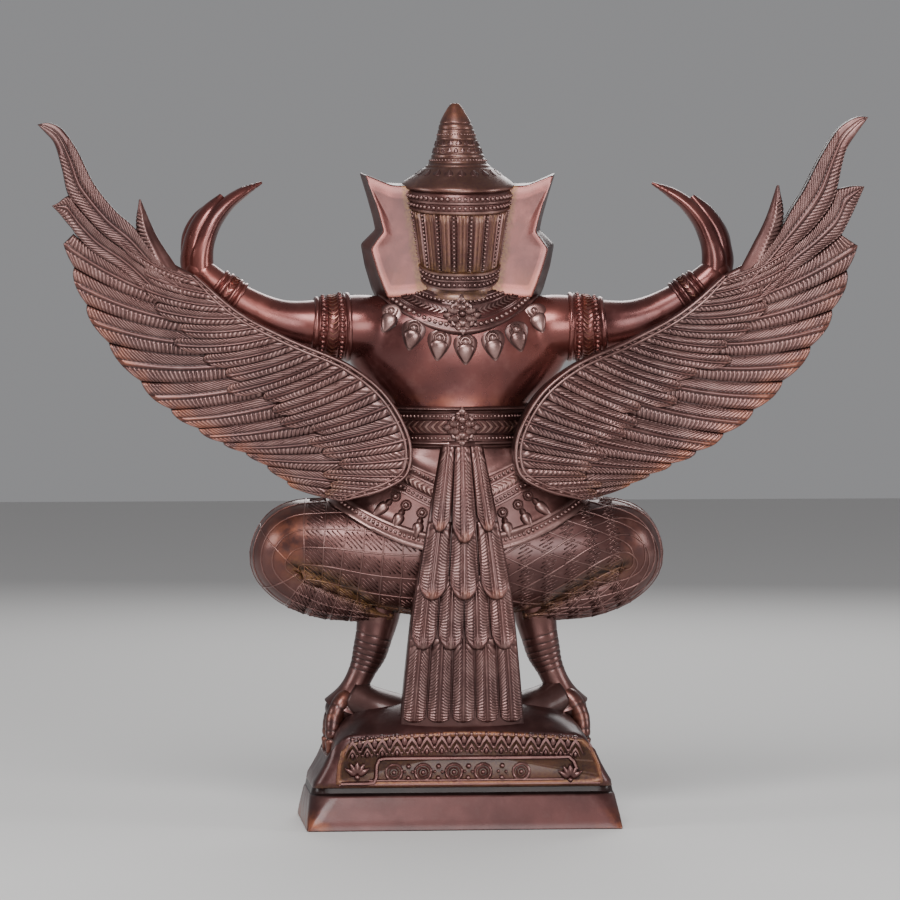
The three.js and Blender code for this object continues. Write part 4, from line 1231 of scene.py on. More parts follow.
# It widens from the waist, its hem is lower behind and in front, and its rows dip towards the middle
def skirtSurface(angle, v, lift):
    c, s = np.cos(angle), np.sin(angle)
    grow = np.clip(1 - v, 0, 1) ** 0.8
    wide, deep = (mixed(skirt["waist"][k], skirt["spread"][k], grow) + lift for k in (0, 1))
    hem = skirt["sideEdge"] - skirt["drop"] * s**2
    y = np.sign(s) * np.abs(s) ** mixed(1.0, 0.55, eased(1 - v, 0.02, 0.3)) * deep
    steep, outer, inner = skirt["dip"]
    dip = steep * (outer - np.clip(np.abs(c * wide), inner, outer))
    dip = dip * eased(v, 0.25, 0.5) * (1 - eased(v, 0.72, 0.95))
    return pointsAt(c * wide, y, mixed(hem, skirt["top"], v) - dip)


# The angle and v of a surface that lie nearest to given X and Z on its back or front
def nearestSpots(surface, xz, side):
    u, v = np.meshgrid(np.linspace(0.05, 3.09, 300) * side, np.linspace(0, 1, 200), indexing="ij")
    p = surface(u, v, 0.0)
    xz = np.asarray(xz, float)
    apart = (p[None, ..., 0] - xz[:, 0, None, None]) ** 2 + (p[None, ..., 2] - xz[:, 1, None, None]) ** 2
    best = apart.reshape(len(xz), -1).argmin(1)
    return u.ravel()[best], v.ravel()[best]


# The cloth with its rows of beads and chevrons, and hangings of ring, boss, petal and teardrop
def skirtPiece():
    angles = evenAngles(skirtSurface, 0.2, 200)
    shells = [bandOn(skirtSurface, angles, skirt["section"])]
    shells += [beadRow(liftedBy(skirtSurface, 0.1 if v > 0.1 else 0.6), v, r) for v, r in skirt["beads"]]
    shells.append(chevronRow(liftedBy(skirtSurface, 0.1), *skirt["chevrons"], 0.12))
    for side in (1, -1):
        for mirror in (1, -1):
            rings, tips = (np.array(skirt[k], float) * [mirror, 1] for k in ("rings", "tips"))
            hang = rings - tips
            up, tall = pointsAt(hang[:, 0], 0, hang[:, 1]), np.linalg.norm(hang, axis=1)

            def down(share):
                return spotsToward(skirtSurface, *nearestSpots(skirtSurface, rings - hang * share, side), up)

            shells.append(stamped(ring, down(0), 2.9, 2.9, 1.6))
            shells.append(stamped(dome, down(0), 1.9, 1.9, 1.9))
            shells.append(stamped(petal, down(0.3), 3.4, 2.4, 1.8))
            shells.append(stamped(teardrop, down(0.72), 6.4, tall * 0.36, 2.4))
    return makePiece("skirt", shells, carvedBrass, sharp=50)


sash = {
    "path": [[0, -26, 226], [0, -34, 196], [0, -37, 165], [0, -34, 132], [0, -31, 112]],
    "inPlane": [12, 14, 15, 16, 9, 1.5],
    "deep": [4, 4, 4, 3.6, 3, 1.2],
    "bands": [(0.1, 0.012), (0.14, 0.012), (0.76, 0.01), (0.80, 0.01)],
}


# The cloth end that hangs in front, pleated lengthways, with a border along its edge
def sashPiece():
    t, angle = limbGrid(90, 96)
    pleats = np.cos(np.cos(angle) * 16) * 0.55 * (np.abs(np.cos(angle)) < 0.86)
    rim = 0.7 * hump(np.abs(np.cos(angle)), 0.93, 0.05)
    bands = 0.6 * sum(hump(t, place, half) for place, half in sash["bands"])
    lift = pleats * eased(t, 0.14, 0.2) * (1 - eased(t, 0.72, 0.76)) + rim + bands
    shells = [tube(limbSurface(sash)(angle, t, lift), np.clip(lift * 1.4, -0.8, 0.8))]
    return makePiece("front_sash", shells, carvedBrass)


# Bands round the arms: where they run along the arm, how proud they stand, and their rows of beads or ribs
cuffs = {
    "armband": {"span": (0.20, 0.375), "proud": 1.6, "beads": (0.265, 0.74), "radius": 1.5, "half": 3.0},
    "bracelet": {"span": (0.735, 0.865), "proud": 1.4, "beads": (0.30, 0.70), "radius": 0, "half": 2.0},
}
cuffSection = [(0, 0.7), (0.03, 1.25), (0.08, 1.35), (0.13, 0.8), (0.17, 1.25), (0.20, 0.75), (0.33, 0.75),
               (0.355, 1.2), (0.38, 0.8)]      # half of it, in shares of the span and of how proud it stands


def cuffShells(cuff, side):
    surface = limbSurface(arm, side)
    place = lambda share: mixed(*cuff["span"], share)
    p = cuff["proud"]
    rows = [(0, -2)] + [(a, p * h) for a, h in cuffSection]
    angles = fullTurn(80)
    rows += [(1 - a, h) for a, h in rows[::-1]]
    shells = [bandOn(surface, angles, [(place(a), h) for a, h in rows])]
    raised = liftedBy(surface, p * 0.8)
    if cuff["radius"]:
        shells += [beadRow(raised, place(a), cuff["radius"]) for a in cuff["beads"]]
    else:                       # plain ribs in place of beads
        shells += [cordOn(raised, angles, place(a), 1.2, 1.2, closed=True) for a in cuff["beads"]]
    level = place(0.5)          # chevrons along its middle
    around = evenAngles(raised, level, int(girth(raised, level) / 3.0))
    point = np.where(np.sin(around) > 0, -1, 1) * np.pi / 2
    shells.append(stamped(chevron, spotsOn(raised, around, level, point), cuff["half"], 1.9, 1.1, dust=0.25))
    return shells


hand = {
    "finger": {
        "path": [
            [156, 5, 333], [156, 5, 342], [153, 4, 353], [148, 3, 364], [139.5, 1, 374], [130, -1, 381],
            [118.5, -3, 387],
        ],
        "inPlane": [8.5, 8.0, 7.4, 6.6, 5.2, 3.8, 1.0],
        "deep": [8, 8.5, 8, 7, 5.8, 4.2, 1.2],
    },
    "second": {
        "path": [[161, 2, 333], [161.5, 2, 345], [158, 2, 358], [151.5, 1, 368.5], [142.5, 0, 379]],
        "inPlane": [6.2, 6.6, 6.4, 5.6, 2.2],
        "deep": [8, 8, 7, 6, 2],
    },
    "thumb": {
        "path": [[163, 0, 340], [163, -6, 354], [157, -9, 366], [147, -10, 376]],
        "inPlane": [4, 4.4, 3.8, 1.3],
        "deep": [4, 4.6, 4, 1.3],
    },
    "joints": (0.86, 0.89, 0.93),
    "palm": ([156.5, 4.5, 334], [9.4, 8.8, 9]),
}


# Hands: fingers bent back to a point, each with a crease along it that sharpens the ridge on its back
def handPiece(name, side):
    shells = []
    for key, rows in (("finger", 90), ("second", 60), ("thumb", 50)):
        digit = hand[key]
        t, angle = limbGrid(rows, 32)
        ridge = 0.9 * hump(np.angle(np.exp(1j * (angle - 1.5 * np.pi))), 0.25, 0.35)
        joints = -0.35 * sum(hump(t, k, 0.008) for k in hand["joints"])
        wide = smoothTable(np.linspace(0, 1, len(digit["inPlane"])), digit["inPlane"], t)
        flat = -0.16 * (1 + np.cos(angle * 2)) * wide * 0.5
        lift = ridge * (1 - eased(t, 0.8, 1)) + joints * (key == "finger") + flat * eased(t, 0.1, 0.3)
        grid = limbSurface(digit, side)(angle, t, lift)
        shells.append(tube(grid, np.clip(ridge + joints * 2, -0.8, 0.5)))
    middle, radii = hand["palm"]
    shells.append(eggShell(np.array(middle) * [side, 1, 1], radii))
    for cuff in cuffs.values():
        shells += cuffShells(cuff, side)
    return makePiece(name, shells, skinBrass, sharp=60)


# Crown: a fluted drum between two tilted planes, and a cone with rings on it
crown = {
    "centreY": 2,
    "low": {"back": 327, "front": 364, "radius": 25},
    "high": {"back": 384, "front": 391, "radius": 33.5},
    "flutes": 18,
    "flute": [
        (0.0, -0.5), (0.14, -0.5), (0.17, 0.5), (0.20, 0.8), (0.23, 0.5), (0.27, -0.3), (0.31, 0.3),
        (0.35, 0.45), (0.44, 0.45), (0.48, -0.1), (0.52, -0.1), (0.56, 0.45), (0.65, 0.45), (0.69, 0.3),
        (0.73, -0.3), (0.77, 0.5), (0.80, 0.8), (0.83, 0.5), (0.86, -0.5), (1.0, -0.5),
    ],
    "bands": [
        (-0.09, 0.0), (-0.085, 1.1), (-0.065, 1.1), (-0.055, 0.2), (-0.01, 0.2), (0.0, 0.9), (0.015, 0.9),
        (0.022, 0.2), (0.055, 0.2), (0.062, 1.0), (0.085, 1.0), (0.10, -0.3),
    ],
    "topBands": [
        (0.70, -0.3), (0.712, 1.0), (0.735, 1.0), (0.745, 0.1), (0.80, 0.1), (0.812, 1.0), (0.832, 1.0),
        (0.842, 0.4), (0.895, 0.4), (0.92, -0.8), (0.96, -2.5), (1.0, -6.0),
    ],
    "spire": [
        (384, 32.6), (384.9, 34.0), (386.4, 33.8), (388.2, 31.8), (390.4, 28.8), (392.5, 25.6), (395, 22),
        (397.4, 19.1), (400, 17.3), (403, 15.9), (408, 14.2), (412.8, 12.4), (418, 11.0), (422.5, 9.8),
        (427, 7.6), (431, 5.2), (433.5, 3.5), (434.8, 2.3),
    ],
    "rings": [
        (396.2, -0.4), (397.0, 0.2), (398.4, -0.3), (402, -0.3), (403.4, 0.2), (404.4, -0.4),
        (408.0, 0.15), (408.8, -0.35), (412.6, -0.3), (413.4, 0.15), (418.4, 0.15), (419.2, -0.35),
        (422.5, -0.45),
    ],
    "fluteBeads": {"span": (0.125, 0.675), "pitch": 2.25, "size": (1.15, 1.1, 1.5)},
    "drumBeads": [(0.1, 0.772, 1.4), (0.1, 0.04, 1.35), (0.1, -0.033, 1.35), (0.4, 0.868, 1.55)],
    "spireBeads": [(400.2, 0.95), (415.8, 0.85)],       # level and radius; the drum's have their lift first
    "leaves": [(393.4, 20, 4.0, 2.8), (406.3, 22, 2.2, 1.5), (410.8, 16, 3.0, 1.5)],
    "lean": 2,
    "tilt": 4.2,                # how far the brim of the cone dips at the back
}


# A cone frustum between its low plane, v = 0, and its high one, v = 1
def drumSurface(angle, v, lift):
    c, s = np.cos(angle), np.sin(angle)
    behind = (s + 1) / 2
    low = mixed(crown["low"]["back"], crown["low"]["front"], (1 - behind) ** 1.6)
    high = mixed(crown["high"]["front"], crown["high"]["back"], behind)
    r = mixed(crown["low"]["radius"], crown["high"]["radius"], v) + lift
    return pointsAt(c * r, crown["centreY"] + s * r, mixed(low, high, v))


# The cone: a radius at each level, leaning over to its tip
def spireSurface(angle, z, lift):
    levels, radii = np.array(crown["spire"]).T
    r = smoothTable(levels, radii, z) + lift
    x = np.cos(angle) * r + crown["lean"] * eased(z, 392, 434)
    level = z - crown["tilt"] * np.sin(angle) * (1 - eased(z, 384, 398))
    return pointsAt(x, crown["centreY"] + np.sin(angle) * r, level)


# Drum and cone, a row of beads down each flute, bead rows round both, and leaves round the cone
def crownPiece():
    count, flutes = crown["flutes"] * 20, crown["flutes"]
    angle = fullTurn(count)
    phase = (angle / (2 * np.pi) * flutes) % 1
    fluted = np.interp(phase, *np.array(crown["flute"]).T)
    (lowAt, low), (topAt, top) = (np.array(crown[key]).T[..., None] for key in ("bands", "topBands"))
    middle = np.linspace(0.115, 0.685, 8)[:, None]
    v = np.concatenate([lowAt, middle, topAt])
    lift = np.concatenate([low + 0 * angle, fluted + 0 * middle, top + 0 * angle])
    carved = ((v > 0.11) & (v < 0.69)) & (np.abs(phase - 0.5) < 0.21)
    tint = np.clip(lift * 0.9, -0.8, 0.7) * (v < 0.89)
    tint = np.where(carved, 0.5 * tint, tint)
    dust = np.where(carved, 0.22, 0) + 0.5 * hump(v, 0.1, 0.02) + 0.3 * hump(v, 0.7, 0.02)
    shells = [tube(drumSurface(angle, v, lift), tint, dust=dust)]
    z = [np.arange(384, 395, 0.9), np.arange(395, 424.6, 0.4), np.linspace(425, 434.8, 14)]
    z = np.concatenate(z)[:, None]
    rings = sum(h * hump(z, place, 0.45) for place, h in crown["rings"])
    polish = 0.36 * eased(z, 424, 428)
    poles = [[0, crown["centreY"], 384.0], [crown["lean"], crown["centreY"], 435.0]]
    cone = spireSurface(fullTurn(72)[None, :], z, rings)
    shells.append(tube(cone, np.clip(rings + 0.3, -0.8, 0.8), polish, 0.12, poles))
    row = crown["fluteBeads"]
    for centre in fullTurn(flutes):
        low, high = (drumSurface(centre, np.array(place), 0.0) for place in (0.11, 0.69))
        places = np.linspace(*row["span"], int(np.linalg.norm(high - low) / row["pitch"]))
        shells.append(stamped(bead, spotsOn(liftedBy(drumSurface, -0.5), centre, places), *row["size"]))
    shells += [beadRow(liftedBy(drumSurface, rise), place, r) for rise, place, r in crown["drumBeads"]]
    shells += [beadRow(liftedBy(spireSurface, -0.4), level, r) for level, r in crown["spireBeads"]]
    for level, number, wide, tall in crown["leaves"]:
        shells.append(stamped(leafUp, spotsOn(spireSurface, fullTurn(number), level), wide, tall, 0.7, 0.1))
    return makePiece("crown", shells, carvedBrass, sharp=45)


# Ear flanges of the crown: plates with a notch in their outer edge, smaller at the back face than in front
flange = {
    "outline": [
        [17, 317], [49, 316], [52.2, 323], [56.4, 337], [58.8, 350], [50, 358.8], [51.5, 366], [55, 378.6],
        [59.6, 393.6], [45, 387], [17, 386],
    ],
    "face": [
        [17, 319], [43.5, 317], [46.5, 324], [49.8, 333], [54, 346.8], [46.2, 357.6], [48, 365],
        [51, 375.6], [57.3, 392], [41, 385.4], [17, 384.5],
    ],
    "middle": (35, 351),
    "back": 12,
    "front": -4,
    "bevel": 1.2,
}


# A closed line through corners, in eighteen steps from each to the next, its corners a little rounded
def softLine(corners):
    corners = np.array(corners, float)
    w = (np.arange(18) / 18)[None, :, None]
    line = mixed(corners[:, None], np.roll(corners, -1, 0)[:, None], w).reshape(-1, 2)
    for _ in range(5):
        line = (np.roll(line, 1, 0) + 2 * line + np.roll(line, -1, 0)) / 4
    return line


# A plate from the flat front round the outline to the face behind, which is a little hollow
def flangePiece(name, side):
    outer, face = softLine(flange["outline"]), softLine(flange["face"])
    middle, b = np.array(flange["middle"], float), flange["bevel"]
    back, front = flange["back"], flange["front"]

    def ringAt(line, inset, y):
        return np.insert(middle + (line - middle) * (1 - inset), 1, y, axis=1)

    frontRings = ((0.5, front), (0.05, front), (0.01, front + 0.3 * b), (0, front + b))
    rings = [ringAt(outer, inset, y) for inset, y in frontRings]
    for w in (0.25, 0.5, 0.75, 1.0):
        rings.append(ringAt(mixed(outer, face, w), 0, mixed(front + b, back - b, w)))
    turn = np.linspace(0, np.pi / 2, 5)[1:]
    rings += [ringAt(face, 0.03 * (1 - math.cos(a)), back - b * (1 - math.sin(a))) for a in turn]
    hollow = ((0.1, 0.0), (0.25, 0.2), (0.4, 0.5), (0.6, 0.7), (0.8, 0.8))
    rings += [ringAt(face, inset, back - dip) for inset, dip in hollow]
    grid = np.stack(rings)
    level = grid[..., 2]
    onFace = grid[..., 1] > back - 1
    brim = np.zeros(level.shape)
    brim[9:13] = 1              # the rounded edge of the face and the first ring on it
    # The brim is painted paler, a painted highlight along the face's rounded edge; the side wall is a little
    # darker than the face
    tint = np.where(onFace, -0.34, -0.5) + 1.15 * brim
    drum = mixed(crown["low"]["radius"], crown["high"]["radius"], (level - 327) / 57)
    dust = 0.7 * (1 - eased(grid[..., 0], drum, drum + 2.4)) * (grid[..., 1] > 0)
    rub = 0.25 * eased(level, 340, 322) * onFace
    poles = np.array([[middle[0], front, middle[1]], [middle[0], back - 0.8, middle[1]]])
    shells = [tube(grid * [side, 1, 1], tint, rub, dust, poles * [side, 1, 1])]
    return makePiece(name, shells, skinBrass, sharp=50)


# Legs: one limb from the hip round the knee to the calf, a ringed shank, and toes
legs = {
    "limb": {
        "path": [
            [16, 2, 162.5], [50, 0, 164.5], [82, -3, 168], [98, -5, 167], [104, -7, 159.5], [98, -9, 149],
            [82, -8, 139], [62, -7, 132.5], [38, -5, 127],
        ],
        "knots": [0, 0.205, 0.40, 0.495, 0.55, 0.625, 0.74, 0.865, 1],
        "inPlane": [38, 34.5, 28.5, 26, 21.5, 18.5, 15, 10.5, 6],
        "deep": [28, 31, 31, 28, 25, 23, 20, 16, 11],
    },
    "shank": {
        "path": [
            [46, -7, 136], [48.6, -8, 121], [51, -8, 110], [53.5, -9, 101], [58.5, -9.5, 89],
            [62.5, -10, 80], [66, -12, 69],
        ],
        "inPlane": [13.5, 12.9, 11.4, 10.4, 8.2, 8.6, 15],
        "deep": [13, 12, 11, 10, 9, 9.6, 16],
        "grooves": [113.4, 108.6, 104.4, 100.8, 97.5, 94.2, 90.6],
    },
    "toes": [
        [[63, -8, 77], [70, -3, 72.5], [75, 0, 63.5], [76.6, 2, 52], [79, 3, 41]],
        [[63, -10, 77], [70, -17, 71.5], [75, -22, 62], [77, -25, 51], [79.5, -26, 40]],
        [[63, -12, 77], [65, -25, 73], [65.5, -36, 65], [65.5, -42, 52], [65.5, -44, 40]],
    ],
    "toeRadii": [6.0, 6.0, 5.4, 4.8, 3.8, 1.2],
    "spur": {"path": [[64, -9, 75], [54, -6, 70], [44, -3, 66.5], [34, -2, 64], [24, -2, 61]],
             "inPlane": [12, 12.5, 13, 12.5, 10], "deep": [12, 15, 17, 17, 14]},
    "fold": ([28, 49, 66, 84, 102], [124, 130, 142, 151.5, 157.5]),      # thigh from calf, X and Z
    "foldDepth": 3.4,
    "lines": 16,
    "lattice": 11.5,
    "netPitch": 1.15,            # how much longer the right leg's diamonds are than the left leg's squares
    "cord": (0.6, 0.5),
    "span": (0.04, 0.985),
    "hatch": {"pitch": 2.1, "half": 0.95, "height": 0.8},
    "strokes": {1: (6.2, 50), -1: (5.0, 65)},        # half size of the cells, and the slant of the strokes
    "kneeWear": {1: 0.6, -1: 0.15},
    "foldDust": {1: 0.8, -1: 0.4},
    "heel": ([66, -13, 68], [14, 16, 10]),
}


# Short strokes side by side in the cells round u, v, slanting one way, and shorter towards the corners
def hatching(surface, u, v, half, slope):
    h = legs["hatch"]
    kept = (np.sin(u) < 0.3) & ((v < 0.45) | (v > 0.63))            # not in front, nor on the knee
    u, v = u[kept], v[kept]
    offsets = np.arange(-2, 3) * h["pitch"]
    halfLength = np.maximum(0.8, half * 1.25 - np.abs(offsets) - 0.9)
    a, b = offsets * math.cos(slope + np.pi / 2), offsets * math.sin(slope + np.pi / 2)
    uu, vv = shifted(surface, u[:, None], v[:, None], a[None, :], b[None, :])
    lengths = np.broadcast_to(halfLength[None, :], uu.shape).ravel()
    spots = spotsOn(surface, uu.ravel(), vv.ravel(), slope - np.pi / 2)
    tint = 0.55 * stroke["paint"][:, 0] + 0.3
    return stamped(stroke, spots, h["half"] * 3.4, lengths, h["height"], relief=tint)


# Left leg: rings and lines with slanting strokes in the squares. Right leg: a net of diamonds with strokes.
def patterned(side):
    surface = limbSurface(legs["limb"], side)
    cord = (*legs["cord"], 0.6)
    step = legs["lattice"] / steps(curveThrough(legs["limb"]["path"], np.linspace(0, 1, 200))).sum()
    start, end = legs["span"]
    t = np.linspace(start, end, 110)
    lines = legs["lines"]
    turns, middles = fullTurn(lines), fullTurn(lines) + np.pi / lines
    reach, slant = legs["strokes"][side]
    if side > 0:
        rings = np.arange(start, end - step, step)
        around = np.linspace(0, 2 * np.pi, 49)[:-1]
        shells = [cordOn(surface, around, place, *cord, closed=True) for place in rings]
        shells += [cordOn(surface, turn, t, *cord) for turn in turns]
        u, v = np.meshgrid(middles, rings + step / 2, indexing="ij")
        return shells + [hatching(surface, u.ravel(), v.ravel(), reach, math.radians(slant))]
    step = step * legs["netPitch"]
    bend = np.pi / lines / step * (t - start)
    shells = [cordOn(surface, turn + way * bend, t, *cord) for turn in turns for way in (1, -1)]
    u, v = (x.ravel() for x in np.meshgrid(middles, np.arange(start, end - 1.6 * step, step), indexing="ij"))
    for du, dv in ((0, 0), (np.pi / lines, step)):
        shells.append(hatching(surface, u + du, v + dv, reach, math.radians(slant)))
    return shells


# A leg: the patterned limb with the fold behind its knee, the ringed shank, the toes and the ankle's mass
def legPiece(name, side):
    t, angle = limbGrid(110, 64)
    shells = [tube(limbSurface(legs["limb"], side)(angle, t, 0.0), -0.12)] + patterned(side)
    for part in shells:      # rubbed on the knee, with a groove, dust and a dark line in the fold
        p, paint = part["points"], part["paint"]
        x, z = p[:, 0] * side, p[:, 2]
        fold = np.interp(x, *legs["fold"])
        near = eased(p[:, 1], -4, 8) * eased(x, 22, 34) * (1 - eased(x, 96, 108))
        p[:, 1] -= legs["foldDepth"] * near * hump(z, fold, 3.0)
        paint[:, 1] = legs["kneeWear"][side] * hump(x, 104, 10) * hump(z, 172, 18)
        paint[:, 2] = legs["foldDust"][side] * near * hump(z, fold - 1.5, 5.5)
        paint[:, 0] -= 0.9 * near * hump(z, fold, 1.3)
    shank = limbSurface(legs["shank"], side)
    t, angle = limbGrid(110, 36)
    spot = shank(angle, t, 0.0)
    tilted = spot[..., 2] - 0.3 * (spot[..., 0] * side - 54)
    cuts = sum(hump(tilted, level, 0.4) for level in legs["shank"]["grooves"])
    shells.append(tube(shank(angle, t, -0.35 * cuts), np.clip(0.1 - cuts, -1, 0.5)))
    shells.append(limbShell(legs["spur"], 24, 24, side, relief=-0.55))
    t, angle = limbGrid(70, 22)
    wave = np.abs(np.sin(t * np.pi * 9)) ** 0.5
    shown = eased(t, 0.2, 0.25) * (1 - eased(t, 0.72, 0.76))
    claw = -0.9 * hump(t, 0.78, 0.02) + 0.3 * hump(t, 0.83, 0.03)
    tint = np.clip(0.05 - 0.7 * (1 - wave) * shown + claw, -1, 0.4)
    for path in legs["toes"]:
        toe = {"path": path, "inPlane": legs["toeRadii"], "deep": legs["toeRadii"]}
        shells.append(tube(limbSurface(toe, side)(angle, t, (wave - 0.7) * 0.2 * shown + claw), tint, 0.25))
    middle, radii = legs["heel"]
    shells.append(eggShell(np.array(middle) * [side, 1, 1], radii, relief=-0.5))
    return makePiece(name, shells, carvedBrass)


# Head in front: a bird's face under the crown
face = {
    "neck": {
        "path": [[0, 0, 308], [0, -1, 322], [0, -3, 338]], "inPlane": [22, 18, 19], "deep": [20, 17, 18],
    },
    "eggs": [
        ([0, -8, 347], [25, 27, 25]), ([0, -27, 337], [11, 11, 7]), ([14, -24, 343], [9, 9, 9]),
        ([-14, -24, 343], [9, 9, 9]), ([0, -30, 355], [9, 9, 9]), ([0, -24, 362], [22, 9, 6]),
    ],
    "beak": {
        "path": [[0, -24, 350], [0, -36, 351.5], [0, -45, 348], [0, -51, 341.5], [0, -52.5, 333.5]],
        "inPlane": [11.5, 9.5, 7, 4.4, 1.0],
        "deep": [9, 8, 6.4, 4.2, 1.0],
        "level": True,
    },
    "lower": {
        "path": [[0, -24, 340], [0, -35, 339], [0, -43, 338], [0, -47.5, 337.5]],
        "inPlane": [10, 7.5, 4.6, 1.2],
        "deep": [5, 4, 2.6, 0.8],
        "level": True,
    },
    "brow": {"path": [[3, -34, 354], [10, -35.5, 360.5], [19, -30, 362.5], [26, -19, 361], [29, -10, 366]],
             "inPlane": [1.4, 2.4, 2.6, 2.0, 0.6], "deep": [1.6, 2.6, 2.6, 2.0, 0.6]},
    "lid": {"path": [[5.5, -34, 351], [9, -36, 356], [15, -34, 357.5], [20, -28, 354]],
            "inPlane": [0.7, 1.2, 1.2, 0.6], "deep": [0.7, 1.4, 1.4, 0.6]},
    "cheek": {"path": [[9, -33, 342], [15, -32, 339], [20, -27, 341], [22, -21, 346.5], [18, -25, 350]],
              "inPlane": [1.0, 1.8, 1.9, 1.5, 0.6], "deep": [1.0, 1.8, 1.9, 1.5, 0.6]},
    "eye": [12.2, -30, 351.5],
    "mouth": 342.4,
    "nostril": (5.5, -40, 351.5),
    "cere": -34.5,
    "lidMirror": (351.0, 1.5),      # the lower lid is the upper one turned over at a level, and lowered
    "diadem": [(0, 13), (0.42, 9.5), (-0.42, 9.5), (0.8, 7.5), (-0.8, 7.5)],      # turns and lengths
}


# The fused head with mouth, nostrils and cere, then eyes, lids, curls and the teardrops on the crown's front
def headPiece():
    shells = [limbShell(face["neck"], 14, 36)]
    shells += [eggShell(np.array(c, float), np.array(r, float), 18, 28) for c, r in face["eggs"]]
    shells += [limbShell(face[key], 30, 28) for key in ("beak", "lower")]

    def relieve(p, normals):
        x, y, z = np.abs(p[:, 0]), p[:, 1], p[:, 2]
        paint = np.zeros((len(p), 3))
        mouth = hump(z, face["mouth"] + 0.012 * np.maximum(0, -y - 24) ** 1.2, 0.75) * (y < -27)
        holeX, holeY, holeZ = face["nostril"]
        nostril = hump(x, holeX, 1.5) * hump(z, holeZ, 1.1) * hump(y, holeY, 2.4)
        cere = hump(y, face["cere"], 0.8) * (x < 10) * (z > 343)
        paint[:, 0] = -np.clip(mouth + nostril + 0.6 * cere, 0, 1)
        return -1.3 * mouth - 1.6 * nostril - 0.7 * cere, paint

    fusedPiece("head", shells, skinBrass, 1.0, 6, relieve)
    trims = []
    level, drop = face["lidMirror"]
    lower = {
        "path": [[x, y, 2 * level - z - drop] for x, y, z in face["lid"]["path"]],
        "inPlane": [0.6, 1.0, 1.0, 0.5],
        "deep": [0.6, 1.0, 1.0, 0.5],
    }
    for side in (1, -1):
        eye = np.array(face["eye"]) * [side, 1, 1]
        trims.append(eggShell(eye, [6.2, 5.2, 4.9], 16, 24, relief=0.5))
        trims.append(eggShell(eye + [0.4 * side, -4.6, -0.2], [2.4, 1.4, 2.4], 10, 16, relief=-0.5))
        for key in ("brow", "lid", "cheek"):
            trims.append(limbShell(face[key], 30, 16, side, relief=0.5))
        trims.append(limbShell(lower, 24, 14, side, relief=0.4))
        for k in range(4):
            root = np.array([25.5 - 0.6 * k, -9 - 0.5 * k, 350 - 6.5 * k])
            curl = {"path": root + [[0, 0, 0], [3, -6, 0], [0.5, -11, -3], [-3.5, -11.5, -1]],
                    "inPlane": [2.6, 2.6, 2.0, 0.8], "deep": [2.6, 2.6, 2.0, 0.8]}
            trims.append(limbShell(curl, 18, 14, side, relief=0.4))
    for turn, tall in face["diadem"]:
        angle = np.array([3 * np.pi / 2 + turn])
        leaf = spotsToward(liftedBy(drumSurface, 0.6), angle, np.array([0.28]), [[0, -0.2, 1.0]])
        boss = spotsToward(liftedBy(drumSurface, 2.8), angle, np.array([0.16]), [[0, 0, 1.0]])
        trims += [stamped(teardropUp, leaf, tall * 0.95, tall, 2.6), stamped(dome, boss, tall * 0.17)]
    return makePiece("face_trim", trims, carvedBrass, sharp=60)


# Plinth: level, half width and half depth of its outline, from the base up to the shoulder
plinth = {
    "rows": [
        (0.0, 93.8, 50.8), (0.5, 94.7, 51.7), (1.4, 94.6, 51.7), (7, 94.0, 49.2), (13, 93.0, 46.5),
        (19, 92.0, 43.8), (20.0, 91.6, 43.2), (20.5, 91.4, 42.4), (20.6, 91.2, 38.0), (21.4, 91.0, 37.0),
        (24.4, 90.4, 36.8), (24.6, 90.4, 39.4), (25.2, 90.2, 40.0), (28, 89.6, 40.0), (32, 87.2, 40.0),
        (38, 83.8, 40.0), (43, 81.9, 40.0), (48, 80.4, 40.0), (52, 79.2, 40.0),
    ],
    "topHalf": (78, 40),
    "topRings": (1.0, 0.994, 0.98, 0.955, 0.92, 0.87, 0.8, 0.7, 0.58, 0.45, 0.3, 0.15),
    "footTop": 20.5,
    "corners": (1.6, 13, 8),    # corner radii of the foot at its base and at its top, and of the block above
    "plate": [
        (77, 25.6), (76, 38), (73.5, 47), (69, 52), (52, 55), (26, 57.6), (0, 58.4), (-26, 57.8),
        (-52, 56), (-72, 53.6), (-78, 47), (-82, 38), (-84.5, 25.6),
    ],
    "endRounding": 12,
    "plateMiddle": (-3.0, 42.0),
    "plateSection": [(0, 36.0), (0, 41.2), (0.8, 42.0), (2.0, 42.1), (3.4, 40.9)],      # inset and depth
}


# Points round a rectangle with rounded corners
def roundedOutline(halfX, halfY, corner, alongX=36, alongY=18, arc=5):
    arcs = []
    for k, (cx, cy) in enumerate(((1, 1), (-1, 1), (-1, -1), (1, -1))):
        turn = np.linspace(0, np.pi / 2, arc) + k * np.pi / 2
        x = cx * (halfX - corner) + np.cos(turn) * corner
        y = cy * (halfY - corner) + np.sin(turn) * corner
        arcs.append(np.stack([x, y], -1))
    points = []
    for k, number in enumerate((alongX, alongY, alongX, alongY)):
        w = (np.arange(1, number) / number)[:, None]
        points += [arcs[k], mixed(arcs[k][-1], arcs[(k + 1) % 4][0], w)]
    return np.vstack(points)


# The top: a mound that falls off to all edges, rounded down at its two ends
def plinthTop(x, y):
    halfX, halfY = plinth["topHalf"]
    u, v = x / halfX, y / halfY
    mound = drawn["moundRise"] * np.clip(1 - u**4, 0, None) * np.clip(1 - v**2, 0, None)
    corner = plinth["endRounding"]
    beyond = np.clip(np.abs(x) - (halfX - corner), 0, corner)
    fall = corner - np.sqrt(np.maximum(0, corner**2 - beyond**2))
    return drawn["edge"] + mound - fall


# The long sides of the plinth's block over X and Z
def plinthFace(side):
    return lambda x, z, lift: pointsAt(x, side * (plinth["topHalf"][1] + lift), z)


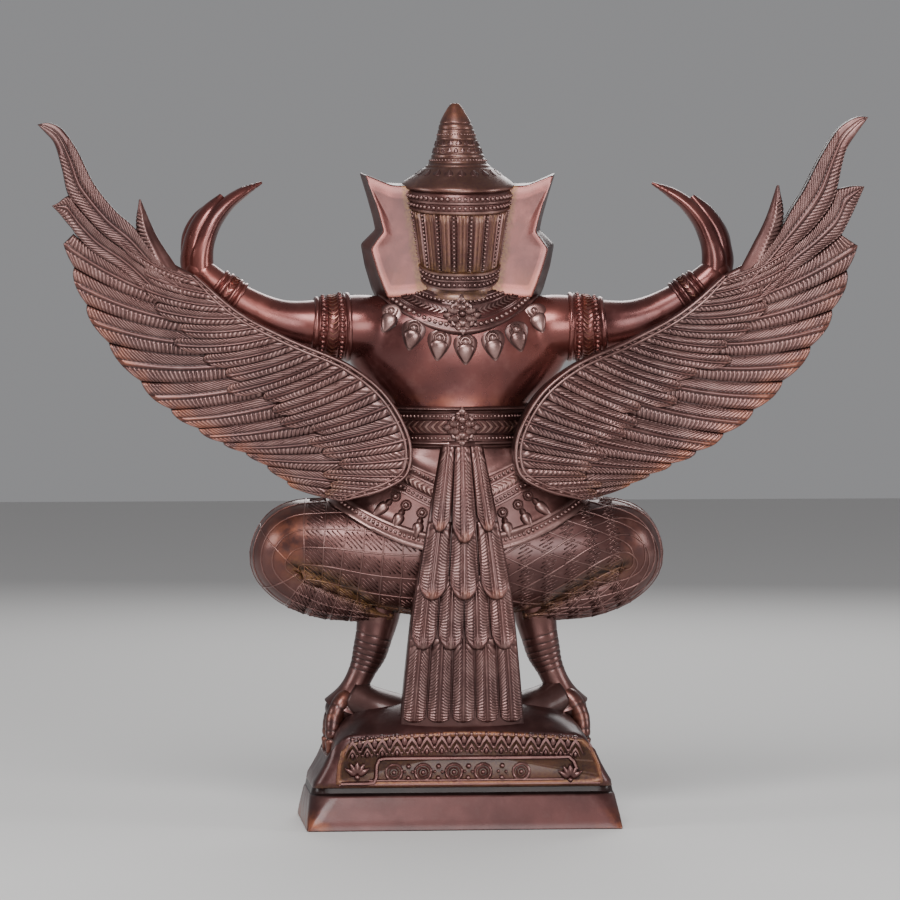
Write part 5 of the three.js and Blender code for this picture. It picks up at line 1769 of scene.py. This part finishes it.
# The carved border: leaves and bosses along its arched edge, a bent bar below, and roundels and fans between
frieze = {
    "leaves": 16,
    "reach": 67,
    "leafLevel": 49.3,
    "arch": (3.0, 69),           # how far the edge's middle rises, and over what half width
    "grow": {1: 1.5, -1: 1.2},       # how much the carving is heightened behind and in front
    "bar": [
        (74, 27.6), (58, 27.6), (54.2, 28.2), (52.8, 31), (52.4, 38.5), (51, 41.8), (47.5, 42.6),
        (-57, 42.6), (-63, 42.8), (-66, 40), (-67.8, 35.4),
    ],
    "mouldings": [(26.9, -82, 75), (29.4, -60, 57)],      # level, from and to
    "edgeBeads": (-68, 66, 52),
    "roundels": [42, 24.5, 6, -11.5, -34.5],
    "level": 34,
    "between": [(0, 3.8, 1.9), (0.3, -3.2, 1.8), (-2.3, 0.3, 1.2), (2.3, 0.5, 1.2)],
    "fans": {1: (64.0, 34.0), -1: (-64.0, 31.5)},
}


# The raised plate that carries the border: its outline, rounded over at the front
def friezePlate(side):
    line = softLine(plinth["plate"]) * [side, 1]
    middle = np.array(plinth["plateMiddle"]) * [side, 1]
    shrinks = [(np.array([0.5, 0.5]), 36.0)]
    shrinks += [(1 - inset / np.array([77, 16.0]), y) for inset, y in plinth["plateSection"]]
    rings = [np.insert(middle + (line - middle) * shrink, 1, y * side, axis=1) for shrink, y in shrinks]
    return tube(np.stack(rings), np.array([-0.5, -0.5, 0.1, 0.5, 0.2, -0.6])[:, None], 0.3, 0.4)


def friezeShells(side):
    surface = liftedBy(plinthFace(side), 0.8)
    grow, level, low = frieze["grow"][side], frieze["leafLevel"], frieze["level"]
    rise, reach = frieze["arch"]
    x = np.linspace(-frieze["reach"], frieze["reach"], frieze["leaves"])
    between = (x[1:] + x[:-1]) / 2

    def put(motif, xs, z, wide, tall, high, arched=False, **paint):
        xs = np.atleast_1d(np.asarray(xs, float))
        z = z + rise * (1 - (xs / reach) ** 2) - 1 if arched else np.full(len(xs), float(z))
        return stamped(motif, spotsToward(surface, xs, z, [[0, 0, 1.0]]), wide, tall, high * grow, **paint)

    first, last, number = frieze["edgeBeads"]
    size = 1.2 * rng.uniform(0.85, 1.1, number)
    arched = [
        (chevron, x, level, 4.7, 6.6, 1.9), (chevron, x, level - 3.6, 3.0, 4.4, 1.7),
        (teardropUp, x, level - 4.2, 2.6, 2.2, 1.6), (teardropUp, between, level + 2.6, 4.2, 3.2, 1.8),
        (bead, x, level + 5.6, 1.5, 1.7, 1.8), (bead, between, level - 2.2, 1.6, 1.6, 1.5),
        (bead, between - 1.6, level - 4.6, 1.1, 1.1, 1.2), (bead, between + 1.6, level - 4.6, 1.1, 1.1, 1.2),
        (bead, np.linspace(first, last, number), level + 5.6, size, size, 1.1),
    ]
    shells = [friezePlate(side)] + [put(*row, arched=True) for row in arched]
    for z, start, end in frieze["mouldings"]:
        shells.append(cordOn(surface, np.linspace(start, end, 60) * side, z, 0.9, 1.6))
    corners, share = np.array(frieze["bar"], float), np.linspace(0, 1, 12)[:, None]
    line = np.vstack([mixed(a, b, share) for a, b in zip(corners[:-1], corners[1:])])
    for _ in range(2):
        line[1:-1] = (line[:-2] + 2 * line[1:-1] + line[2:]) / 4
    keep = np.concatenate([[True], steps(line) > 1e-6])
    shells.append(cordOn(surface, line[keep, 0], line[keep, 1], 1.7, 1.7 * grow))
    rounds = np.array(frieze["roundels"], float)
    bright = np.clip(ring["paint"][:, 0] + 0.9, -0.2, 0.95)
    shells += [put(ring, rounds, low, r, r, 1.1, relief=bright) for r in (4.9, 2.8)]
    shells.append(put(dome, rounds, low, 1.5, 1.5, 1.3))
    middles = (rounds[1:] + rounds[:-1]) / 2
    shells += [put(bead, middles + dx, low + dz, r, r, 1.4 * r) for dx, dz, r in frieze["between"]]
    fan = np.array([-60, -30, 0, 30, 60]) * np.pi / 180
    for cx, cz in frieze["fans"].values():
        places = cx + 4.6 * np.sin(fan), cz + 4.6 * np.cos(fan) - 1.5
        spots = spotsToward(surface, *places, pointsAt(np.sin(fan), 0, np.cos(fan)))
        shells.append(stamped(teardropUp, spots, 4.4, 4.2, 2.0 * grow))
        shells.append(put(dome, cx, cz - 2.6, 1.9, 1.9, 1.9))
    return shells


# The block: its outline at each level up to the shoulder, then the top's rings, and a border on both sides
def plinthPiece():
    (topX, topY), (base, foot, block), footTop = (plinth[key] for key in ("topHalf", "corners", "footTop"))
    rows = []
    for k, (z, halfX, halfY) in enumerate(plinth["rows"]):
        outline = roundedOutline(halfX, halfY, mixed(base, foot, z / footTop) if z <= footTop else block)
        brink = plinthTop(outline[:, 0] * topX / halfX, outline[:, 1] * topY / halfY)
        brink = brink - 0.25 * (len(plinth["rows"]) - k) - 1
        rows.append(np.insert(outline, 2, np.minimum(z, brink), axis=1))
    for share in plinth["topRings"]:
        outline = roundedOutline(topX * share, topY * share, block * share)
        rounding = 1.6 * (1 - np.clip((1 - share) / 0.03, 0, 1)) ** 2
        rows.append(np.insert(outline, 2, plinthTop(outline[:, 0], outline[:, 1]) - rounding, axis=1))
    grid = np.stack(rows)
    level = grid[..., 2]
    ends = [[0, 0, 0], [0, 0, drawn["edge"] + drawn["moundRise"]]]
    out = np.abs(grid[..., 0]) / 95
    tint = np.where((level > 20.4) & (level < 24.5), -0.9, np.where(level < 20.4, -0.38, -0.2))
    # The ends of the block above the foot are painted darker, a painted shade; the mound's top is darker too
    tint = tint - 0.25 * eased(level, 54, 60) - 0.2 * eased(out, 0.8, 0.92) * (level > 25)
    rub = 0.9 * eased(out, 0.8, 0.97) * eased(level, 14, 2)
    dust = 0.3 * hump(level, 25, 1.0) * (np.abs(grid[..., 1]) > 36)
    shells = [tube(grid, tint, rub, dust, ends)]
    for side in (1, -1):
        shells += friezeShells(side)
    return makePiece("plinth_block", shells, plinthBrass, "plinth", asDrawn, 45)


beltPiece()
collarPiece(body)
skirtPiece()
sashPiece()
handPiece("hand_left", 1)
handPiece("hand_right", -1)
crownPiece()
flangePiece("crown_flange_left", 1)
flangePiece("crown_flange_right", -1)
legPiece("leg_left", 1)
legPiece("leg_right", -1)
headPiece()
plinthPiece()


# Camera at the photograph's angle, behind the figure and a little to its left
shot = {"target": (0.0048, 0.0, 0.2254), "yaw": 5.0, "rise": 2.2, "distance": 3.0, "lens": 198.2}


# Turns a camera or lamp so that it looks from where it is to the target
def aimed(thing, target):
    back = np.array(thing.location) - np.array(target)
    thing.rotation_mode = "XYZ"
    tilt, turn = math.atan2(math.hypot(back[0], back[1]), back[2]), math.atan2(back[0], -back[1])
    thing.rotation_euler = (tilt, 0, turn)


def photoCamera():
    camera = bpy.data.objects.new("camera", bpy.data.cameras.new("camera"))
    yaw, rise = math.radians(shot["yaw"]), math.radians(shot["rise"])
    away = (math.sin(yaw) * math.cos(rise), math.cos(yaw) * math.cos(rise), math.sin(rise))
    camera.location = [at + shot["distance"] * part for at, part in zip(shot["target"], away)]
    aimed(camera, shot["target"])
    camera.data.lens, camera.data.sensor_width = shot["lens"], 36
    bpy.context.scene.collection.objects.link(camera)
    bpy.context.scene.camera = camera


# Soft studio light: a large panel over the camera, one at each side and a weak one in front
panels = {
    "key": {"at": (0.35, 1.35, 1.35), "size": 0.7, "watts": 27},
    "fill": {"at": (-0.2, 2.3, 0.5), "size": 1.0, "watts": 25},
    "left": {"at": (1.6, 0.35, 0.6), "size": 0.6, "watts": 9},
    "right": {"at": (-1.6, 0.5, 0.5), "size": 0.6, "watts": 9},
    "front": {"at": (-0.3, -1.6, 1.1), "size": 1.0, "watts": 13},
}
surround = {"colour": (0.72, 0.72, 0.74, 1), "strength": 0.38}
ground = {"half": 4, "colour": (0.62, 0.61, 0.60, 1), "rough": 0.75}


# The panels aimed at the figure, an even surround and a pale floor
def studio():
    for name, panel in panels.items():
        lamp = bpy.data.objects.new(name, bpy.data.lights.new(name, "AREA"))
        lamp.data.size, lamp.data.energy = panel["size"], panel["watts"]
        lamp.location = panel["at"]
        aimed(lamp, (0, 0, 0.22))
        bpy.context.scene.collection.objects.link(lamp)
    world = bpy.data.worlds.new("studio")
    world.use_nodes = True
    background = world.node_tree.nodes["Background"]
    background.inputs["Color"].default_value = surround["colour"]
    background.inputs["Strength"].default_value = surround["strength"]
    bpy.context.scene.world = world
    mesh = bpy.data.meshes.new("floor")
    h = ground["half"]
    mesh.from_pydata([(-h, -h, 0), (h, -h, 0), (h, h, 0), (-h, h, 0)], [], [(0, 1, 2, 3)])
    floor = bpy.data.objects.new("floor", mesh)
    pale = bpy.data.materials.new("pale_floor")
    pale.use_nodes = True
    shader = pale.node_tree.nodes["Principled BSDF"]
    shader.inputs["Base Color"].default_value = ground["colour"]
    shader.inputs["Roughness"].default_value = ground["rough"]
    mesh.materials.append(pale)
    bpy.context.scene.collection.objects.link(floor)


photoCamera()
studio()

print("scene done")
